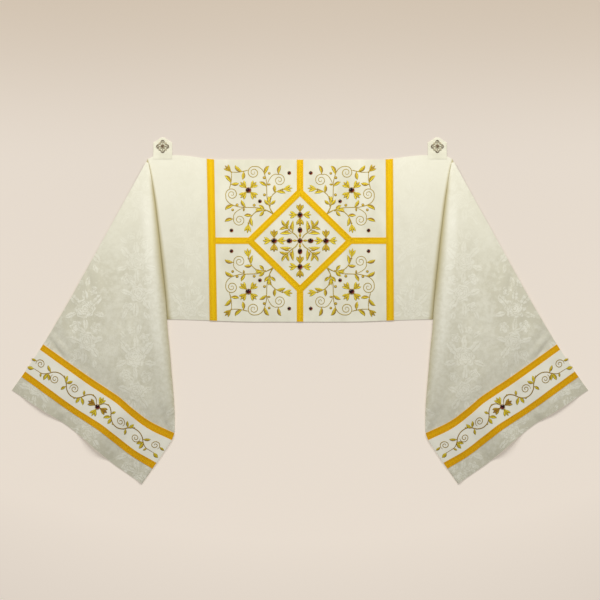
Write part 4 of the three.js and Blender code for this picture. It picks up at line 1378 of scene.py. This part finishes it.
STONES = {
    "middle": [(0, 0, 15, 15)],
    "inner": [(-36, 0, 17.5, 13.4), (36, 0, 17.5, 13.4), (0, 36, 13.4, 17.5), (0, -36, 13.4, 17.5)],
    "cross": [(-88, 0, 17.5, 14.5), (88, 0, 17.5, 14.5), (0, 88, 15, 16), (0, -88, 15, 16)],
    "corner": [(sx * 175, sy * 172, 16.5, 15) for sx in (-1, 1) for sy in (-1, 1)],
}
gems, rims, small_gems, small_rims, border_gem, border_rim = (Work() for _ in range(6))
for kind, places in STONES.items():
    base = 1.4 if kind in ("cross", "corner") else 0.1
    for x, y, wide, tall in places:
        gems.lathe((x, y, base), (wide, tall), cut(4.0), 12, 0.5)
        rims.rim((x, y, base), (wide, tall), 0.75)
for sx, sy in QUARTERS:
    for x, y in ((36.5, 230), (136, 134), (232.5, 35)):
        small_gems.lathe((sx * x, sy * y, 0.1), (10.8, 10.8), cut(3.0), 10, 0.5)
        small_rims.rim((sx * x, sy * y, 0.1), (10.6, 10.6), 0.6, 24)
border_gem.lathe((0, 0, 1.4), (15, 15), cut(4.0), 12, 0.5)
border_rim.rim((0, 0, 1.4), (15, 15), 0.55)
dress(
    gems.finish("red_stones_square", on_panel, STONE, True), "stone_red", "stone_middle",
    *("stone_inner_" + place for place in CROSS), *("stone_cross_" + place for place in CROSS),
    *("stone_corner_" + place for place in CORNERS),
)
dress(
    small_gems.finish("red_stones_small", on_panel, STONE, True), "stone_red",
    *(f"stone_small_{place}_{k}" for place in CORNERS for k in (1, 2, 3)),
)
dress(rims.finish("gold_rims_square", on_panel, RIM), "gold_embroidery")
dress(small_rims.finish("gold_rims_small", on_panel, RIM), "gold_embroidery")
gem = border_gem.finish("red_stone_border_left", on_border, STONE, True)
dress_both(gem, "stone_red", "stone_border_{}")
dress_both(border_rim.finish("gold_rim_border_left", on_border, RIM), "gold_embroidery")


# Clasps
def arc(centre, radius, start, end, n=18):
    turns = np.radians(np.linspace(start, end, n))
    return np.column_stack([centre[0] + radius * np.cos(turns), centre[1] + radius * np.sin(turns)])


def turned(points, degrees):
    c, s = math.cos(math.radians(degrees)), math.sin(math.radians(degrees))
    points = np.asarray(points, float)
    return np.column_stack([points[:, 0] * c - points[:, 1] * s, points[:, 0] * s + points[:, 1] * c])


clasp = Work()


def clasp_wires(line, height, radius, tone):
    """The same wire on each of the clasp's four sides."""
    for k in range(4):
        clasp.wire(np.column_stack([turned(line, 90 * k), np.full(len(line), height)]), radius, tone=tone)


lobe = np.concatenate([
    spline((8.5, -11), (11.5, -7.6), (13.5, -6), step=1.2)[:-1], arc((15.2, 0), 5.6, -105, 105, 22),
    spline((13.5, 6), (11.5, 7.6), (8.5, 11), step=1.2)[1:],
])
clasp_wires(lobe, 1.9, 1.0, np.interp(np.abs(np.linspace(-1, 1, len(lobe))), [0.6, 0.95], [0.0, 0.7]))
clasp_wires(arc((15.4, 0), 2.3, 20, 340, 16), 2.0, 0.8, 0.75)
clasp_wires(spiral((10.2, 10.2), 3.6, 225, 1.35, 1, 1.1), 1.8, 0.8, 0.7)
clasp_wires([(6.8, 0), (9, 0.2), (12.4, 0)], 1.8, 0.9, 0.5)
clasp_wires(spline((15.2, 5.6), (12.8, 9), (9, 12.8), (5.6, 15.2), step=1.5), 1.3, 0.8, 0.9)
for radius, n, height, thickness, tone in ((7.2, 36, 2.0, 0.95, 0.8), (4.9, 30, 2.3, 0.7, 0.3)):
    line = arc((0, 0), radius, 0, 350, n)
    clasp.wire(np.column_stack([line, np.full(n, height)]), thickness, True, tone)
DOME = [(1, 0), (1, 1.4), (0.86, 2.6), (0.6, 3.5), (0.3, 4.0), (0.1, 4.1)]
clasp.lathe((0, 0, 0.8), (8.6, 8.6), DOME, 24)
clasp.lathe((0, 0, 0.1), (12, 12), [(1, 0), (1, 0.8), (0.7, 0.9)], 24)
CLASP_PLACE = (-TAB_AT, 320, TAB_THICKNESS + 0.1)
clasp = clasp.finish("pewter_clasp_left", lambda points: points + CLASP_PLACE, METAL)
dress_both(clasp, "clasp_metal", "clasp_{}")

# Stage
FLOOR_REACH, FLOOR_LEVEL = 9, -0.0006
floor = bpy.data.meshes.new("floor")
floor.from_pydata(
    [(FLOOR_REACH * x, FLOOR_REACH * y, FLOOR_LEVEL) for x, y in ((-1, -1), (1, -1), (1, 1), (-1, 1))],
    [], [(0, 1, 2, 3)],
)
floor_look = Look("backdrop_paper", roughness=0.9, specular=0.1)
# The paper is darker where the lamps light it more, so that it looks even
LAMP_PLACE, LAMP_AIM, LAMP_POWER = np.array((0.9, 1.65, 1.4)), np.array((0.35, 0.15, 0.0)), 28.5
LAMP_SIZE, SKY, GLOW = 0.9, 0.262, 0.3
PAPER, PAPER_BACK, EVEN_FROM = (0.93, 0.84, 0.745), (0.76, 0.65, 0.53), 0.87
x, y, _ = floor_look.place()
brightness = SKY + GLOW
for side in (-1, 1):
    place, aim = LAMP_PLACE * (side, 1, 1), LAMP_AIM * (side, 1, 1)
    toward = (aim - place) / np.linalg.norm(aim - place)
    across, along = x - place[0], y - place[1]
    facing = (across * toward[0] + along * toward[1] - place[2] * toward[2]).top(0.0)
    reach = across * across + along * along + place[2] ** 2
    brightness = facing / (reach * reach) * (LAMP_POWER * place[2] / math.pi ** 2) + brightness
paper = floor_look.mix(y.below(0.82, 0.36), PAPER_BACK, PAPER)
paper = floor_look.mix((brightness / EVEN_FROM).math("POWER", -1.0), (0.0, 0.0, 0.0), paper)
floor_look.colour(paper)
# Painted light: the paper also glows with its own colour, which helps keep it even
floor_look.tree.links.new(paper, floor_look.shader.inputs["Emission Color"])
floor_look.set("Emission Strength", GLOW)
floor.materials.append(floor_look.material)
floor = bpy.data.objects.new("floor", floor)
bpy.context.scene.collection.objects.link(floor)
floor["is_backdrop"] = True

for side in (-1, 1):
    place, aim = LAMP_PLACE * (side, 1, 1), LAMP_AIM * (side, 1, 1)
    data = bpy.data.lights.new("key_%d" % (side + 1), "AREA")
    data.shape, data.size, data.energy, data.color = "DISK", LAMP_SIZE, LAMP_POWER, (1.0, 0.99, 0.97)
    lamp = bpy.data.objects.new(data.name, data)
    bpy.context.scene.collection.objects.link(lamp)
    lamp.location = place
    lamp.rotation_mode = "QUATERNION"
    lamp.rotation_quaternion = Vector(aim - place).to_track_quat("-Z", "Y")
world = bpy.data.worlds.new("studio")
world.use_nodes = True
sky = world.node_tree.nodes["Background"]
sky.inputs["Color"].default_value = (1.0, 0.97, 0.93, 1)
sky.inputs["Strength"].default_value = SKY
bpy.context.scene.world = world
bpy.context.scene.view_settings.view_transform = "Standard"

# The camera looks straight down. The frame is 2037 mm wide on the surface.
FRAME_PIXELS, VEIL_PIXELS, VEIL_ROW = 600, 162, 240.7
PIXEL = VEIL_WIDTH / VEIL_PIXELS
DISTANCE, SENSOR = 5.0, 36
lens = bpy.data.cameras.new("camera")
lens.sensor_width = SENSOR
lens.lens = SENSOR * DISTANCE / (FRAME_PIXELS * PIXEL / 1000)
camera = bpy.data.objects.new("camera", lens)
bpy.context.scene.collection.objects.link(camera)
camera.location = (0, (SHIFT_Y - (FRAME_PIXELS / 2 - VEIL_ROW) * PIXEL) / 1000, DISTANCE)
bpy.context.scene.camera = camera

low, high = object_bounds()
{"cad": [list(c) for c in cad_box], "visual": [list(low), list(high)]}
